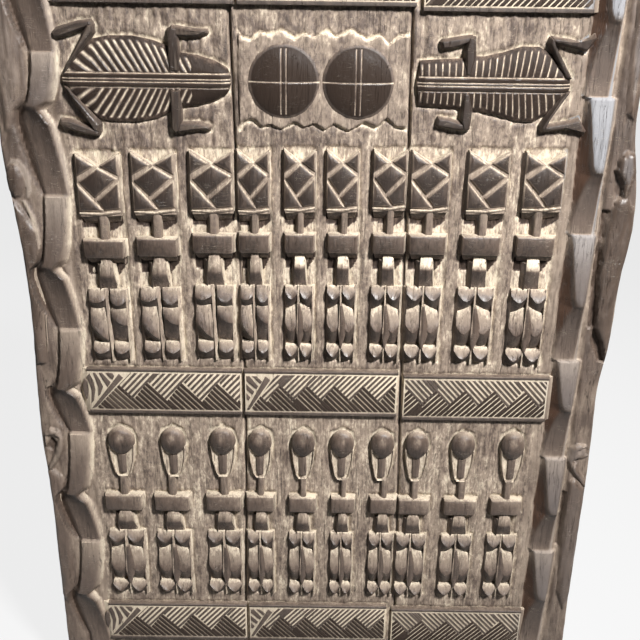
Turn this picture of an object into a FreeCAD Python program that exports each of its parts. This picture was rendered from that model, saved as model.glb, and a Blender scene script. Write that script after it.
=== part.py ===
import FreeCAD, Part
import os

# A carved granary door of three upright planks, held by battens, nails and staples on its back.
# Millimetres. +Z is up, +X is to the right as one faces the carving, and the carving looks along -Y.
# The origin is on the pivots' axis, at the boards' foot, in the middle of their thickness.
# A share is a fraction of the size that it follows. Heights count from the boards' foot, and
# distances across count from the middle of the door unless a name says otherwise.

# Boards
board_height = 1190.0
board_width = 845.0
plank_thickness = 34.0
seam_gap = 4.0
edge_wander = 12.5
seam_wander = 14.0

# Pivots, carved from the ends of the left plank
pivot_radius = 17.0
pivot_length = 55.0
pivot_inset = 22.0

# Back battens
batten_width = 62.0
batten_thickness = 30.0
batten_end_margin = 44.0

# Forged nails, with square shanks
nail_head_radius = 9.0
nail_head_rise = 3.5
nail_shank_side = 5.0
nail_bite = 23.0

# Forged staples across the seams, on the back
staple_span = 58.0
staple_width = 6.0
staple_thickness = 4.0
staple_leg_thickness = 4.5
staple_bite = 20.0
hole_slack = 0.05

# How deep the carvings reach into the board, so that each is one with its plank
relief_root = 3.0

# The carved field, between the two snake borders
field_width = 687.0

# Rows of ancestor figures
figure_height = 315.0
figure_width = 60.0
head_relief = 12.0
head_notch_depth = 17.0
limb_relief = 10.0
facet_edge_relief = 1.5
shoulder_edge_relief = 7.0
neck_width = 12.0
neck_relief = 7.0
torso_width = 24.0
egg_head_radius = 23.0
egg_head_rise = 12.0
beard_width = 13.0
leg_gap = 4.0
rib_relief = 3.0
rib_margin = 3.0

# Braided bands
braid_height = 74.0
braid_relief = 8.0
braid_seam_margin = 7.0

# Animals near the head of the door
animal_height = 120.0
crocodile_length = 222.0
crocodile_relief = 10.0
tortoise_radius = 48.0
tortoise_rise = 14.0
tortoise_pitch = 98.0

# Snakes, one down each side of the field
snake_width = 27.0
snake_sway = 20.0
snake_high_relief = 17.0
snake_low_relief = 9.0
snake_inset = 30.0

# Creatures on the outer borders
creature_length = 325.0
creature_width = 30.0
creature_relief = 13.0
creature_edge_margin = 2.0
creature_head_rise = 3.0

# Places up the boards, in shares of the board height
row_foot_shares = (0.485, 0.123)
braid_foot_shares = (0.044, 0.406, 0.901)
animal_middle_share = 0.821
batten_middle_shares = (0.13, 0.5, 0.87)
staple_shares = (0.04, 0.315, 0.685, 0.96)
left_step_shares = (0.212, 0.376, 0.521, 0.687, 0.84)
right_step_shares = (0.205, 0.350, 0.487, 0.650, 0.808)
snake_end_shares = (0.055, 0.945)
snake_turn_share = 0.52
creature_top_shares = (0.378, 0.742)

# Places across the boards, in shares of the width named beside each
left_seam_share = 0.3615        # board width
right_seam_share = 0.6450       # board width
nail_shares = (0.24, 0.76)      # plank width
nail_stagger_share = 0.2        # batten width
column_shares = (0.052, 0.167, 0.280, 0.365, 0.456, 0.540, 0.635, 0.714, 0.829, 0.942)  # field width
column_width_shares = (0.98, 0.97, 1.0, 0.75, 0.72, 0.75, 0.77, 0.87, 0.93, 0.92)       # figure width

# The four upright lines that bound the planks: share of the height, share of the line's wander.
# A positive wander goes to the right.
left_edge_shares = ((0, 0.0), (0.14, 0.1), (0.30, 0.1), (0.355, -0.25), (0.48, 0.0), (0.575, 0.3),
                    (0.64, 0.0), (0.70, -0.7), (0.74, -1.0), (0.83, -0.5), (1, 0.0))
right_edge_shares = ((0, -0.1), (0.2, -0.25), (0.3, -0.15), (0.36, -0.15), (0.46, -0.3), (0.505, 0.2),
                     (0.6, 0.5), (0.665, 1.0), (0.72, 0.55), (0.76, -0.1), (0.88, 0.1), (1, 0.0))
left_seam_shares = ((0, -0.36), (0.26, 0.2), (0.44, 0.35), (0.62, 0.1), (0.80, -0.25), (1, -0.6))
right_seam_shares = ((0, 0.78), (0.2, 0.5), (0.4, 0.1), (0.62, -0.25), (0.82, -0.55), (1, -0.82))

# A figure's parts, in shares of the figure height: foot and top of each
leg_tier_shares = ((0.0, 0.085), (0.09, 0.268), (0.273, 0.363))
leg_crest_shares = (0.8, 0.75, 0.7)
torso_shares = (0.37, 0.50)
shoulder_shares = (0.52, 0.62)
neck_shares = (0.61, 0.73)
face_head_shares = (0.715, 0.992)
beard_shares = (0.73, 0.83)
egg_head_middle_share = 0.908
torso_crest_share = 0.6
shoulder_crest_share = 0.75
rib_top_share = 1.0

# The crocodile seen from above, half of it: share of its length from the tail end,
# share of half its height from the spine
crocodile_half_shares = ((0.0, 0.0), (0.0, 0.12), (0.07, 0.62), (0.16, 0.62), (0.0, 0.78), (0.0, 0.95),
                         (0.2, 0.72), (0.3, 0.80), (0.42, 0.80), (0.55, 0.62), (0.62, 0.58), (0.63, 0.86),
                         (0.86, 0.86), (0.86, 0.72), (0.69, 0.70), (0.68, 0.50), (0.74, 0.55),
                         (0.98, 0.18), (1.0, 0.0))

# The border creature: share of its width from the door's edge, share of its length from its feet
creature_outline_shares = ((0.05, 0.0), (0.55, 0.0), (0.85, 0.12), (0.95, 0.3), (0.95, 0.6), (0.8, 0.72),
                           (0.55, 0.8), (0.95, 0.86), (1.0, 0.94), (0.75, 1.0), (0.3, 0.99), (0.0, 0.9),
                           (0.0, 0.5), (0.0, 0.2))

ground_y = -plank_thickness / 2
back_y = plank_thickness / 2
middle_x = board_width / 2 - pivot_inset
left_edge_x = middle_x - board_width / 2
right_edge_x = middle_x + board_width / 2
field_left_x = middle_x - field_width / 2
field_right_x = middle_x + field_width / 2


def vector(x, y, z):
    return FreeCAD.Vector(x, y, z)


def seam_middle_x(seam):
    """A seam's place across the door, before its wander."""
    return left_edge_x + board_width * (left_seam_share, right_seam_share)[seam]


def upright_line(base_x, shares, wander, shift, y):
    """A gently wandering line from the boards' foot to their head."""
    points = []
    for height_share, wander_share in shares:
        x = base_x + wander * wander_share + shift
        points.append(vector(x, y, board_height * height_share))
    curve = Part.BSplineCurve()
    curve.interpolate(points)
    return curve.toShape()


def plank_bounds(index, y):
    """The left and right boundary lines of one plank, half a seam gap inside each seam."""
    half_gap = seam_gap / 2
    left_lines = (
        (left_edge_x, left_edge_shares, edge_wander, 0),
        (seam_middle_x(0), left_seam_shares, seam_wander, half_gap),
        (seam_middle_x(1), right_seam_shares, seam_wander, half_gap),
    )
    right_lines = (
        (seam_middle_x(0), left_seam_shares, seam_wander, -half_gap),
        (seam_middle_x(1), right_seam_shares, seam_wander, -half_gap),
        (right_edge_x, right_edge_shares, edge_wander, 0),
    )
    left = upright_line(*left_lines[index], y)
    right = upright_line(*right_lines[index], y)
    return left, right


def plank_prism(index, front_y, rear_y):
    """Everything between the plank's two boundary lines, from one depth to another."""
    left, right = plank_bounds(index, front_y)
    foot = Part.makeLine(left.Vertexes[0].Point, right.Vertexes[0].Point)
    head = Part.makeLine(left.Vertexes[-1].Point, right.Vertexes[-1].Point)
    outline = Part.Wire(Part.__sortEdges__([left, head, right, foot]))
    return Part.Face(outline).extrude(vector(0, rear_y - front_y, 0))


def plate(points, relief):
    """A raised flat shape, given by its outline as (x, z) points."""
    y = ground_y + relief_root
    corners = [vector(x, y, z) for x, z in points]
    outline = Part.makePolygon(corners + [corners[0]])
    return Part.Face(outline).extrude(vector(0, -(relief + relief_root), 0))


def block(x, width, foot, top, relief):
    """A raised upright rectangle centred on x."""
    half = width / 2
    return plate([(x - half, foot), (x + half, foot), (x + half, top), (x - half, top)], relief)


def ridge(x, width, foot, top, crest_share, relief, edge_relief):
    """A raised roof shape whose crest runs across, at a share of its height."""
    root = ground_y + relief_root
    edge = ground_y - edge_relief
    crest = foot + (top - foot) * crest_share
    profile = [(root, foot), (edge, foot), (ground_y - relief, crest), (edge, top), (root, top)]
    corners = [vector(x - width / 2, y, z) for y, z in profile]
    outline = Part.makePolygon(corners + [corners[0]])
    return Part.Face(outline).extrude(vector(width, 0, 0))


def dome(x, z, radius, rise):
    """A cap of a ball that stands on the ground in a circle of the given radius."""
    ball = (radius * radius + rise * rise) / (rise + rise)
    whole_ball = Part.makeSphere(ball, vector(x, ground_y + ball - rise, z))
    reach = rise + relief_root
    corner = vector(x - ball, ground_y - reach, z - ball)
    layer = Part.makeBox(ball * 2, reach + relief_root, ball * 2, corner)
    return whole_ball.common(layer)


def legs(x, foot, width):
    """Two legs side by side, each of three stacked facets."""
    leg_width = (width - leg_gap) / 2
    pieces = []
    for tier, crest_share in zip(leg_tier_shares, leg_crest_shares):
        low = foot + figure_height * tier[0]
        high = foot + figure_height * tier[1]
        for side in (-1, 1):
            leg_x = x + side * (leg_width + leg_gap) / 2
            pieces.append(ridge(leg_x, leg_width, low, high, crest_share, limb_relief, facet_edge_relief))
    return pieces


def trunk(x, foot, width):
    """Torso, shoulders and neck."""
    torso = [foot + figure_height * share for share in torso_shares]
    shoulders = [foot + figure_height * share for share in shoulder_shares]
    neck = [foot + figure_height * share for share in neck_shares]
    return [
        ridge(x, torso_width, *torso, torso_crest_share, limb_relief, facet_edge_relief),
        ridge(x, width, *shoulders, shoulder_crest_share, limb_relief, shoulder_edge_relief),
        block(x, neck_width, neck[0], neck[1], neck_relief),
    ]


def face_head(x, foot, width):
    """A broad squared head with a notch in its crown."""
    half = width / 2
    low = foot + figure_height * face_head_shares[0]
    high = foot + figure_height * face_head_shares[1]
    notch = high - head_notch_depth
    outline = [(x - half, low), (x + half, low), (x + half, high), (x, notch), (x - half, high)]
    return [plate(outline, head_relief)]


def egg_head(x, foot, width):
    """A polished egg-shaped head over a narrow bearded face."""
    middle = foot + figure_height * egg_head_middle_share
    beard = [foot + figure_height * share for share in beard_shares]
    radius = min(egg_head_radius, width / 2)
    return [
        dome(x, middle, radius, egg_head_rise),
        block(x, beard_width, beard[0], beard[1], neck_relief),
    ]


def figure_columns(plank):
    """Middle and width of each figure column whose middle lies on one plank."""
    limits = (left_edge_x, seam_middle_x(0), seam_middle_x(1), right_edge_x)
    columns = []
    for share, width_share in zip(column_shares, column_width_shares):
        x = field_left_x + field_width * share
        if limits[plank] < x < limits[plank + 1]:
            columns.append((x, figure_width * width_share))
    return columns


def figure_rows(plank):
    """Both rows of figures, and the low ribs between neighbours."""
    pieces = []
    for row_share, head in zip(row_foot_shares, (face_head, egg_head)):
        foot = board_height * row_share
        columns = figure_columns(plank)
        for x, width in columns:
            pieces += legs(x, foot, width) + trunk(x, foot, width) + head(x, foot, width)
        for (x, width), (next_x, next_width) in zip(columns, columns[1:]):
            left = x + width / 2 + rib_margin
            right = next_x - next_width / 2 - rib_margin
            top = foot + figure_height * rib_top_share
            pieces.append(block((left + right) / 2, right - left, foot, top, rib_relief))
    return pieces


def braids(plank):
    """The three raised braid bands that cross the plank."""
    lefts = (field_left_x, seam_middle_x(0) + braid_seam_margin, seam_middle_x(1) + braid_seam_margin)
    rights = (seam_middle_x(0) - braid_seam_margin, seam_middle_x(1) - braid_seam_margin, field_right_x)
    pieces = []
    for share in braid_foot_shares:
        foot = board_height * share
        middle = (lefts[plank] + rights[plank]) / 2
        width = rights[plank] - lefts[plank]
        pieces.append(block(middle, width, foot, foot + braid_height, braid_relief))
    return pieces


def crocodile(tail_x, direction):
    """A crocodile seen from above, its tail end at tail_x and its head along direction."""
    spine = board_height * animal_middle_share
    half = []
    for along_share, off_share in crocodile_half_shares:
        x = tail_x + direction * crocodile_length * along_share
        half.append((x, animal_height / 2 * off_share))
    upper = [(x, spine + off) for x, off in half]
    lower = [(x, spine - off) for x, off in half[1:-1]]
    return [plate(upper + lower[::-1], crocodile_relief)]


def tortoises():
    """Two domed tortoises side by side."""
    z = board_height * animal_middle_share
    radius = tortoise_radius
    return [dome(middle_x + side * tortoise_pitch / 2, z, radius, tortoise_rise) for side in (-1, 1)]


def snake_section(x, z, relief):
    """A level cut through the snake."""
    half = snake_width / 2
    root = ground_y + relief_root
    face = ground_y - relief
    corners = [(x - half, root), (x + half, root), (x + half, face), (x - half, face)]
    corners = [vector(corner_x, y, z) for corner_x, y in corners]
    return Part.makePolygon(corners + [corners[0]])


def snake(side, step_shares):
    """A snake of long kinks, proud at the head of each kink and lower at its foot."""
    middle = middle_x + side * (field_width / 2 + snake_inset)
    inner_x = middle - side * snake_sway / 2
    outer_x = middle + side * snake_sway / 2
    levels = [snake_end_shares[0], *step_shares, snake_end_shares[1]]
    levels = [board_height * share for share in levels]
    pieces = []
    for low, high in zip(levels, levels[1:]):
        turn = low + (high - low) * snake_turn_share
        mean_relief = (snake_low_relief + snake_high_relief) / 2
        sections = [
            snake_section(inner_x, low, snake_low_relief),
            snake_section(outer_x, turn, mean_relief),
            snake_section(inner_x, high, snake_high_relief),
        ]
        pieces.append(Part.makeLoft(sections, True, True))
    return pieces


def creature(side, top):
    """A long creature of the outer border, with a round head over a curved neck."""
    edge_x = middle_x + side * (board_width / 2 - creature_edge_margin)
    foot = top - creature_length
    outline = []
    for inward_share, up_share in creature_outline_shares:
        outline.append((edge_x - side * creature_width * inward_share, foot + creature_length * up_share))
    head_radius = creature_width / 2
    head_x = edge_x - side * head_radius
    head = dome(head_x, top - head_radius, head_radius, creature_relief + creature_head_rise)
    return [plate(outline, creature_relief), head]


def creatures(side):
    pieces = []
    for share in creature_top_shares:
        pieces += creature(side, board_height * share)
    return pieces


def carving(plank):
    """Everything that stands proud of one plank's ground, trimmed to that plank."""
    pieces = figure_rows(plank) + braids(plank)
    if plank == 0:
        pieces += crocodile(field_left_x, 1) + snake(-1, left_step_shares) + creatures(-1)
    if plank == 1:
        pieces += tortoises()
    if plank == 2:
        pieces += crocodile(field_right_x, -1) + snake(1, right_step_shares) + creatures(1)
    reach = ground_y - snake_high_relief - creature_relief
    envelope = plank_prism(plank, reach, back_y)
    return [piece.common(envelope) for piece in pieces]


def batten_ends():
    return left_edge_x + batten_end_margin, right_edge_x - batten_end_margin


def nail_places(batten_share):
    """Where the nails of one batten go: two in each plank, staggered up and down."""
    start, end = batten_ends()
    spans = ((start, seam_middle_x(0)), (seam_middle_x(0), seam_middle_x(1)), (seam_middle_x(1), end))
    places = []
    for low, high in spans:
        for share, up in zip(nail_shares, (1, -1)):
            z = board_height * batten_share + up * batten_width * nail_stagger_share
            places.append((low + (high - low) * share, z))
    return places


def square_bar(x, z, side, front_y, rear_y):
    """A square bar that lies along Y."""
    return Part.makeBox(side, rear_y - front_y, side, vector(x - side / 2, front_y, z - side / 2))


def nail(x, z):
    """A forged nail driven from the batten's back into the plank."""
    seat = back_y + batten_thickness
    top_radius = nail_head_radius - nail_head_rise
    head = Part.makeCone(nail_head_radius, top_radius, nail_head_rise, vector(x, seat, z), vector(0, 1, 0))
    shank = square_bar(x, z, nail_shank_side, back_y - nail_bite, seat)
    return head.fuse(shank)


def nail_hole(x, z):
    side = nail_shank_side + hole_slack * 2
    seat = back_y + batten_thickness
    return square_bar(x, z, side, back_y - nail_bite - hole_slack, seat)


def batten(share):
    """A back batten with its nail holes."""
    start, end = batten_ends()
    corner = vector(start, back_y, board_height * share - batten_width / 2)
    bar = Part.makeBox(end - start, batten_thickness, batten_width, corner)
    return bar.cut([nail_hole(x, z) for x, z in nail_places(share)])


def seam_x(seam, height_share):
    """The middle of a seam at a given share of the height."""
    shares = (left_seam_shares, right_seam_shares)[seam]
    line = upright_line(seam_middle_x(seam), shares, seam_wander, 0, 0)
    corner = vector(left_edge_x, ground_y, board_height * height_share)
    level = Part.makePlane(board_width, plank_thickness, corner)
    return line.section(level).Vertexes[0].Point.x


def staple_legs(seam, share, slack):
    """The two legs of one staple, or the holes that they fill."""
    x = seam_x(seam, share)
    z = board_height * share
    offset = (staple_span - staple_leg_thickness) / 2
    legs_found = []
    for side in (-1, 1):
        thick = staple_leg_thickness + slack * 2
        wide = staple_width + slack * 2
        corner = vector(x + side * offset - thick / 2, back_y - staple_bite - slack, z - wide / 2)
        legs_found.append(Part.makeBox(thick, staple_bite + slack, wide, corner))
    return legs_found


def staple(seam, share):
    """A flat staple whose crown lies on the back and whose legs go into both planks."""
    x = seam_x(seam, share)
    z = board_height * share
    corner = vector(x - staple_span / 2, back_y, z - staple_width / 2)
    crown = Part.makeBox(staple_span, staple_thickness, staple_width, corner)
    return crown.fuse(staple_legs(seam, share, 0))


def fastener_holes():
    """Every hole that a nail or staple makes in the planks."""
    holes = []
    for share in batten_middle_shares:
        holes += [nail_hole(x, z) for x, z in nail_places(share)]
    for seam in (0, 1):
        for share in staple_shares:
            holes += staple_legs(seam, share, hole_slack)
    return holes


def pivots():
    """Round pivots at both ends of the left plank."""
    root = pivot_length
    foot = Part.makeCylinder(pivot_radius, pivot_length + root, vector(0, 0, -pivot_length))
    head = Part.makeCylinder(pivot_radius, pivot_length + root, vector(0, 0, board_height - root))
    return [foot, head]


def plank(index, holes):
    """One plank with its carving, its fastener holes and, on the left, its pivots."""
    board = plank_prism(index, ground_y, back_y)
    near_holes = [hole for hole in holes if hole.common(board).Volume > 0]
    board = board.cut(near_holes)
    parts = carving(index)
    if index == 0:
        parts += pivots()
    return board.fuse(parts)


def write(name, shape):
    shape.exportStep("parts/" + name + ".step")
    box = shape.BoundBox
    size = [round(length) for length in (box.XLength, box.YLength, box.ZLength)]
    print(name, len(shape.Solids), shape.isValid(), size)


def main():
    os.makedirs("parts", exist_ok=True)
    holes = fastener_holes()
    for index, name in enumerate(("plank_left", "plank_centre", "plank_right")):
        write(name, plank(index, holes))
    for share, place in zip(batten_middle_shares, ("bottom", "middle", "top")):
        write("batten_" + place, batten(share))
        nails = [nail(x, z) for x, z in nail_places(share)]
        write("nails_" + place, Part.Compound(nails))
    for seam, place in enumerate(("left", "right")):
        staples = [staple(seam, share) for share in staple_shares]
        write("staples_" + place, Part.Compound(staples))


main()
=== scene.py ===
import math
import random

import bpy
import numpy as np
from mathutils import Matrix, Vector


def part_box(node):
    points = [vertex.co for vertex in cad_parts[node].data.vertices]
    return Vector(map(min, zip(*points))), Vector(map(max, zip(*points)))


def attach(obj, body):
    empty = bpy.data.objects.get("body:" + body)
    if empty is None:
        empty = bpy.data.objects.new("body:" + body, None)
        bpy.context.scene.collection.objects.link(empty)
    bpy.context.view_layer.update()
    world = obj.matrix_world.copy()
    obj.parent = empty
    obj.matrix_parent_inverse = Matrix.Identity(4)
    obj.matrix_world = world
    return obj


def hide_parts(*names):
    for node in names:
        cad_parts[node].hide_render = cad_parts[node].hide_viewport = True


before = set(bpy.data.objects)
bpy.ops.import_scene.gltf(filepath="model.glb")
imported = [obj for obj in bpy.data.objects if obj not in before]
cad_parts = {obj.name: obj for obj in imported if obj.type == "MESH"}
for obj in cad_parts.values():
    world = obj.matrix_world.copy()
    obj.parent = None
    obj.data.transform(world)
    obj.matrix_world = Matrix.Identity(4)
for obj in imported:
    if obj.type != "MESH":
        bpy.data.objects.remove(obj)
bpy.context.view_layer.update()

# A carved granary door of three planks, seen from slightly above.
# Places on the carving are in millimetres from the middle of the view: across to the right, up, and
# proud of the boards' ground. MM turns them into metres.
MM = 0.001
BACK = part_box("batten_middle")[0][1]
GROUND = -BACK
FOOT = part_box("plank_centre")[0][2]
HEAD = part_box("plank_centre")[1][2]
HEIGHT = HEAD - FOOT
PIVOT_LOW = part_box("plank_left")[0][2]
PIVOT_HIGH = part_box("plank_left")[1][2]
PIVOT_RADIUS = 17 * MM
PIVOT_ROOT = 12 * MM
WIDTH = 845 * MM
PIVOT_INSET = 22 * MM
MIDDLE = WIDTH / 2 - PIVOT_INSET
SIGHT = 642 * MM
SEAM_GAP = 4 * MM
EDGE_WANDER = 12.5 * MM
SEAM_WANDER = 14 * MM
PLANKS = ("plank_left", "plank_centre", "plank_right")

# The four upright lines that bound the planks: share of the height, share of the line's wander.
EDGE_LINES = (
    (0.0, EDGE_WANDER, ((0, 0.0), (0.14, 0.1), (0.30, 0.1), (0.355, -0.25), (0.48, 0.0), (0.575, 0.3),
                        (0.64, 0.0), (0.70, -0.7), (0.74, -1.0), (0.83, -0.5), (1, 0.0))),
    (0.3615, SEAM_WANDER, ((0, -0.36), (0.26, 0.2), (0.44, 0.35), (0.62, 0.1), (0.80, -0.25), (1, -0.6))),
    (0.6450, SEAM_WANDER, ((0, 0.78), (0.2, 0.5), (0.4, 0.1), (0.62, -0.25), (0.82, -0.55), (1, -0.82))),
    (1.0, EDGE_WANDER, ((0, -0.1), (0.2, -0.25), (0.3, -0.15), (0.36, -0.15), (0.46, -0.3), (0.505, 0.2),
                        (0.6, 0.5), (0.665, 1.0), (0.72, 0.55), (0.76, -0.1), (0.88, 0.1), (1, 0.0))),
)

chance = random.Random(7)


def smooth_between(knots, places):
    """Values on a smooth line through the knots, at the given places."""
    x = np.array([knot[0] for knot in knots], float)
    y = np.array([knot[1] for knot in knots], float)
    slope = np.gradient(y, x)
    index = np.clip(np.searchsorted(x, places, side="right") - 1, 0, len(x) - 2)
    width = x[index + 1] - x[index]
    t = np.clip((places - x[index]) / width, 0, 1)
    rise = (2 * t**3 - 3 * t**2 + 1) * y[index] + (3 * t**2 - 2 * t**3) * y[index + 1]
    turn = (t**3 - 2 * t**2 + t) * slope[index] + (t**3 - t**2) * slope[index + 1]
    return rise + turn * width


def edge_line(line, heights):
    """Where one of the four upright lines runs, in metres, at the given heights."""
    base, reach, shares = EDGE_LINES[line]
    left = MIDDLE - WIDTH / 2
    return left + WIDTH * base + reach * smooth_between(shares, (heights - FOOT) / HEIGHT)


def plank_sides(plank, heights):
    """The left and right side of one plank at the given heights."""
    left = edge_line(plank, heights) + (SEAM_GAP / 2 if plank > 0 else 0)
    right = edge_line(plank + 1, heights) - (SEAM_GAP / 2 if plank < 2 else 0)
    return left, right


# Bench work: pieces are shaped at the origin, in bench millimetres, then set into the door

def free_selection():
    bpy.ops.object.select_all(action="DESELECT")


def pick(piece):
    """Selects one piece alone and makes it the active one."""
    free_selection()
    piece.select_set(True)
    bpy.context.view_layer.objects.active = piece


def named(piece, name):
    piece.name = name
    piece.data.name = name
    return piece


def set_tones(piece, tones):
    """Notes how pale or dark the wood is beyond what its height gives, painted light and shade among it;
    vertices past tones get 0.
    """
    values = np.zeros(len(piece.data.vertices))
    values[:tones.size] = tones.ravel()
    layer = piece.data.attributes.get("tone") or piece.data.attributes.new("tone", "FLOAT", "POINT")
    layer.data.foreach_set("value", values)


def set_tone(piece, tone):
    set_tones(piece, np.full(len(piece.data.vertices), tone))


def slab(corners, steps, root=3.0, shift=(0, 0), tone=0.0):
    """A raised shape from its outline, corner by corner to the left round, and (inset, rise) steps."""
    free_selection()
    bpy.ops.mesh.primitive_circle_add(vertices=len(corners), radius=MM, fill_type="NGON")
    piece = bpy.context.object
    for vertex, (across, up) in zip(piece.data.vertices, corners):
        vertex.co = (across * MM, root * MM, up * MM)
    bpy.ops.object.mode_set(mode="EDIT")
    bpy.ops.mesh.select_mode(type="FACE")
    bpy.ops.mesh.select_all(action="SELECT")
    first_rise = (root + steps[0][1]) * MM
    bpy.ops.mesh.extrude_region_move(TRANSFORM_OT_translate={"value": (0, -first_rise, 0)})
    for inset, rise in steps[1:]:
        bpy.ops.mesh.inset(thickness=inset * MM, depth=rise * MM)
    if shift != (0, 0):
        bpy.ops.transform.translate(value=(shift[0] * MM, 0, shift[1] * MM))
    bpy.ops.mesh.select_all(action="SELECT")
    bpy.ops.mesh.normals_make_consistent(inside=False)
    bpy.ops.object.mode_set(mode="OBJECT")
    set_tone(piece, tone)
    return piece


def rectangle(left, right, low, high):
    return [(left, low), (right, low), (right, high), (left, high)]


def joined(pieces, name):
    """Several pieces as one."""
    free_selection()
    for piece in pieces:
        piece.select_set(True)
    bpy.context.view_layer.objects.active = pieces[0]
    if len(pieces) > 1:
        bpy.ops.object.join()
    return named(bpy.context.object, name)


def copy_of(piece, across=0.0, up=0.0, width=1.0, height=1.0, proud=1.0, turn=0.0):
    """A copy with its own mesh, sized, turned and moved on the bench."""
    copy = piece.copy()
    copy.data = piece.data.copy()
    bpy.context.collection.objects.link(copy)
    move = Matrix.Translation((across * MM, 0, up * MM))
    spin = Matrix.Rotation(-math.radians(turn), 4, "Y")
    size = Matrix.Diagonal((width, proud, height, 1))
    copy.data.transform(move @ spin @ size)
    return copy


def drop(pieces):
    for piece in pieces:
        bpy.data.objects.remove(piece)


def set_in(piece):
    """Moves a bench piece to its place in the door."""
    piece.data.transform(Matrix.Translation((MIDDLE, GROUND, SIGHT)))


def modifier(piece, kind, **settings):
    """Adds one modifier with its settings and applies it."""
    pick(piece)
    added = piece.modifiers.new(kind.lower(), kind)
    for key, value in settings.items():
        setattr(added, key, value)
    bpy.ops.object.modifier_apply(modifier=added.name)


def hand_texture(name, size):
    texture = bpy.data.textures.new(name, "CLOUDS")
    texture.noise_scale = size * MM
    return texture


KNIFE_WAVER = hand_texture("knife_waver", 16)


def hand_cut(piece, waver=0.9, edge=0.7, divide=1):
    """The unevenness and softened edges that a knife and long handling give."""
    if divide:
        modifier(piece, "SUBSURF", subdivision_type="SIMPLE", levels=divide, render_levels=divide)
    modifier(piece, "DISPLACE", texture=KNIFE_WAVER, texture_coords="LOCAL", strength=waver * MM,
             mid_level=0.5)
    modifier(piece, "BEVEL", width=edge * MM, segments=2, limit_method="ANGLE",
             angle_limit=math.radians(28), harden_normals=False)
    smooth(piece, 34)


def smooth(piece, angle):
    pick(piece)
    bpy.ops.object.shade_smooth_by_angle(angle=math.radians(angle))


def belongs(piece, node, material):
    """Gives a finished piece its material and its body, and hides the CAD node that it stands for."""
    piece.data.materials.clear()
    piece.data.materials.append(material)
    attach(piece, "root")
    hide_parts(node)


# What the carving stands on: outlines that the ground is cut down round

class Cut:
    """An outline in bench mm, how far round it the ground is cut, how deep, and the tone there."""

    def __init__(self, corners, reach, depth, tone):
        self.corners = corners
        self.reach = reach
        self.depth = depth
        self.tone = tone


cuts = []


def plank_at(across):
    """The plank whose boards lie at a place across."""
    for index, (base, _, _) in enumerate(EDGE_LINES[1:3]):
        if across * MM < WIDTH * (base - 0.5):
            return index
    return 2


# The figures, with heights from the feet for the bodies and from the chin for the heads

BODY_WIDTH = 60.0
TRUNK_HEIGHT = 197.0
HEAD_HEIGHT = 86.0
EGG_HEIGHT = 91.0
UPPER_HIP = 118
LOWER_HIP = 125
NARROWEST_EGG = 0.88
TULIPS_START = -50


def crowned(corners, steps, crown, root=3.0, tone=0.0, painted_light_slant=0.0, painted_edge_light=None):
    """A slab whose face rises to its middle; its face is painted paler toward the upper right as painted
    light, and its edges, when edge tones are given, get a painted highlight toward the upper right.
    """
    piece = slab(corners, steps, root=root, tone=tone)
    pick(piece)
    front = min(polygon.center.y for polygon in piece.data.polygons)
    for polygon in piece.data.polygons:
        polygon.select = polygon.center.y < front + 0.01 * MM
    bpy.ops.object.mode_set(mode="EDIT")
    bpy.ops.mesh.poke(offset=crown * MM)
    bpy.ops.object.mode_set(mode="OBJECT")
    set_tone(piece, tone)
    sums = [(vertex.co.x + vertex.co.z) / MM for vertex in piece.data.vertices]
    middle, half = (max(sums) + min(sums)) / 2, (max(sums) - min(sums)) / 2
    face_height = sum(rise for _, rise in steps)
    # Painted light: tones grow toward the upper right, on the face and, as a painted highlight, on the
    # edges
    for vertex, total, spot in zip(piece.data.vertices, sums, piece.data.attributes["tone"].data):
        toward = (total - middle) / half
        spot.value = tone + painted_light_slant * toward
        if painted_edge_light is not None and -vertex.co.y / MM < face_height - 0.1:
            dim, bright = painted_edge_light
            spot.value = dim + (bright - dim) * (0.5 + 0.5 * toward)
    return piece


def set_front(piece, tones, root):
    """Notes the tone of each front vertex of a sheet and brings its back to one depth."""
    set_tones(piece, tones)
    for vertex in piece.data.vertices[tones.size:]:
        vertex.co.y = root * MM


def loft(rows, tone=0.0, root=3.0):
    """A carved piece through rows of height, left, right, rise at left, middle and right, and tone."""
    table = np.array([row if len(row) > 6 else (*row, tone) for row in rows], float)
    spots = np.linspace(0, 1, len(rows))
    tones = []

    def surface(s, t):
        up, left, right, *rises, shade = (np.interp(t, spots, column) for column in table.T)
        rise = np.where(s < 0.5, rises[0] + (rises[1] - rises[0]) * s * 2,
                        rises[1] + (rises[2] - rises[1]) * (s * 2 - 1))
        tones.append(shade)
        return (left + (right - left) * s) * MM, -rise * MM, up * MM

    piece = sheet_solid("loft", 2, len(rows) - 1, surface, 12 * MM)
    set_front(piece, tones[0], root)
    return piece


WEDGE_ROWS = (0.0, 0.4, 0.75, 1.0, 1.0, 1.2, 1.45, 1.7, 2.0)


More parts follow.
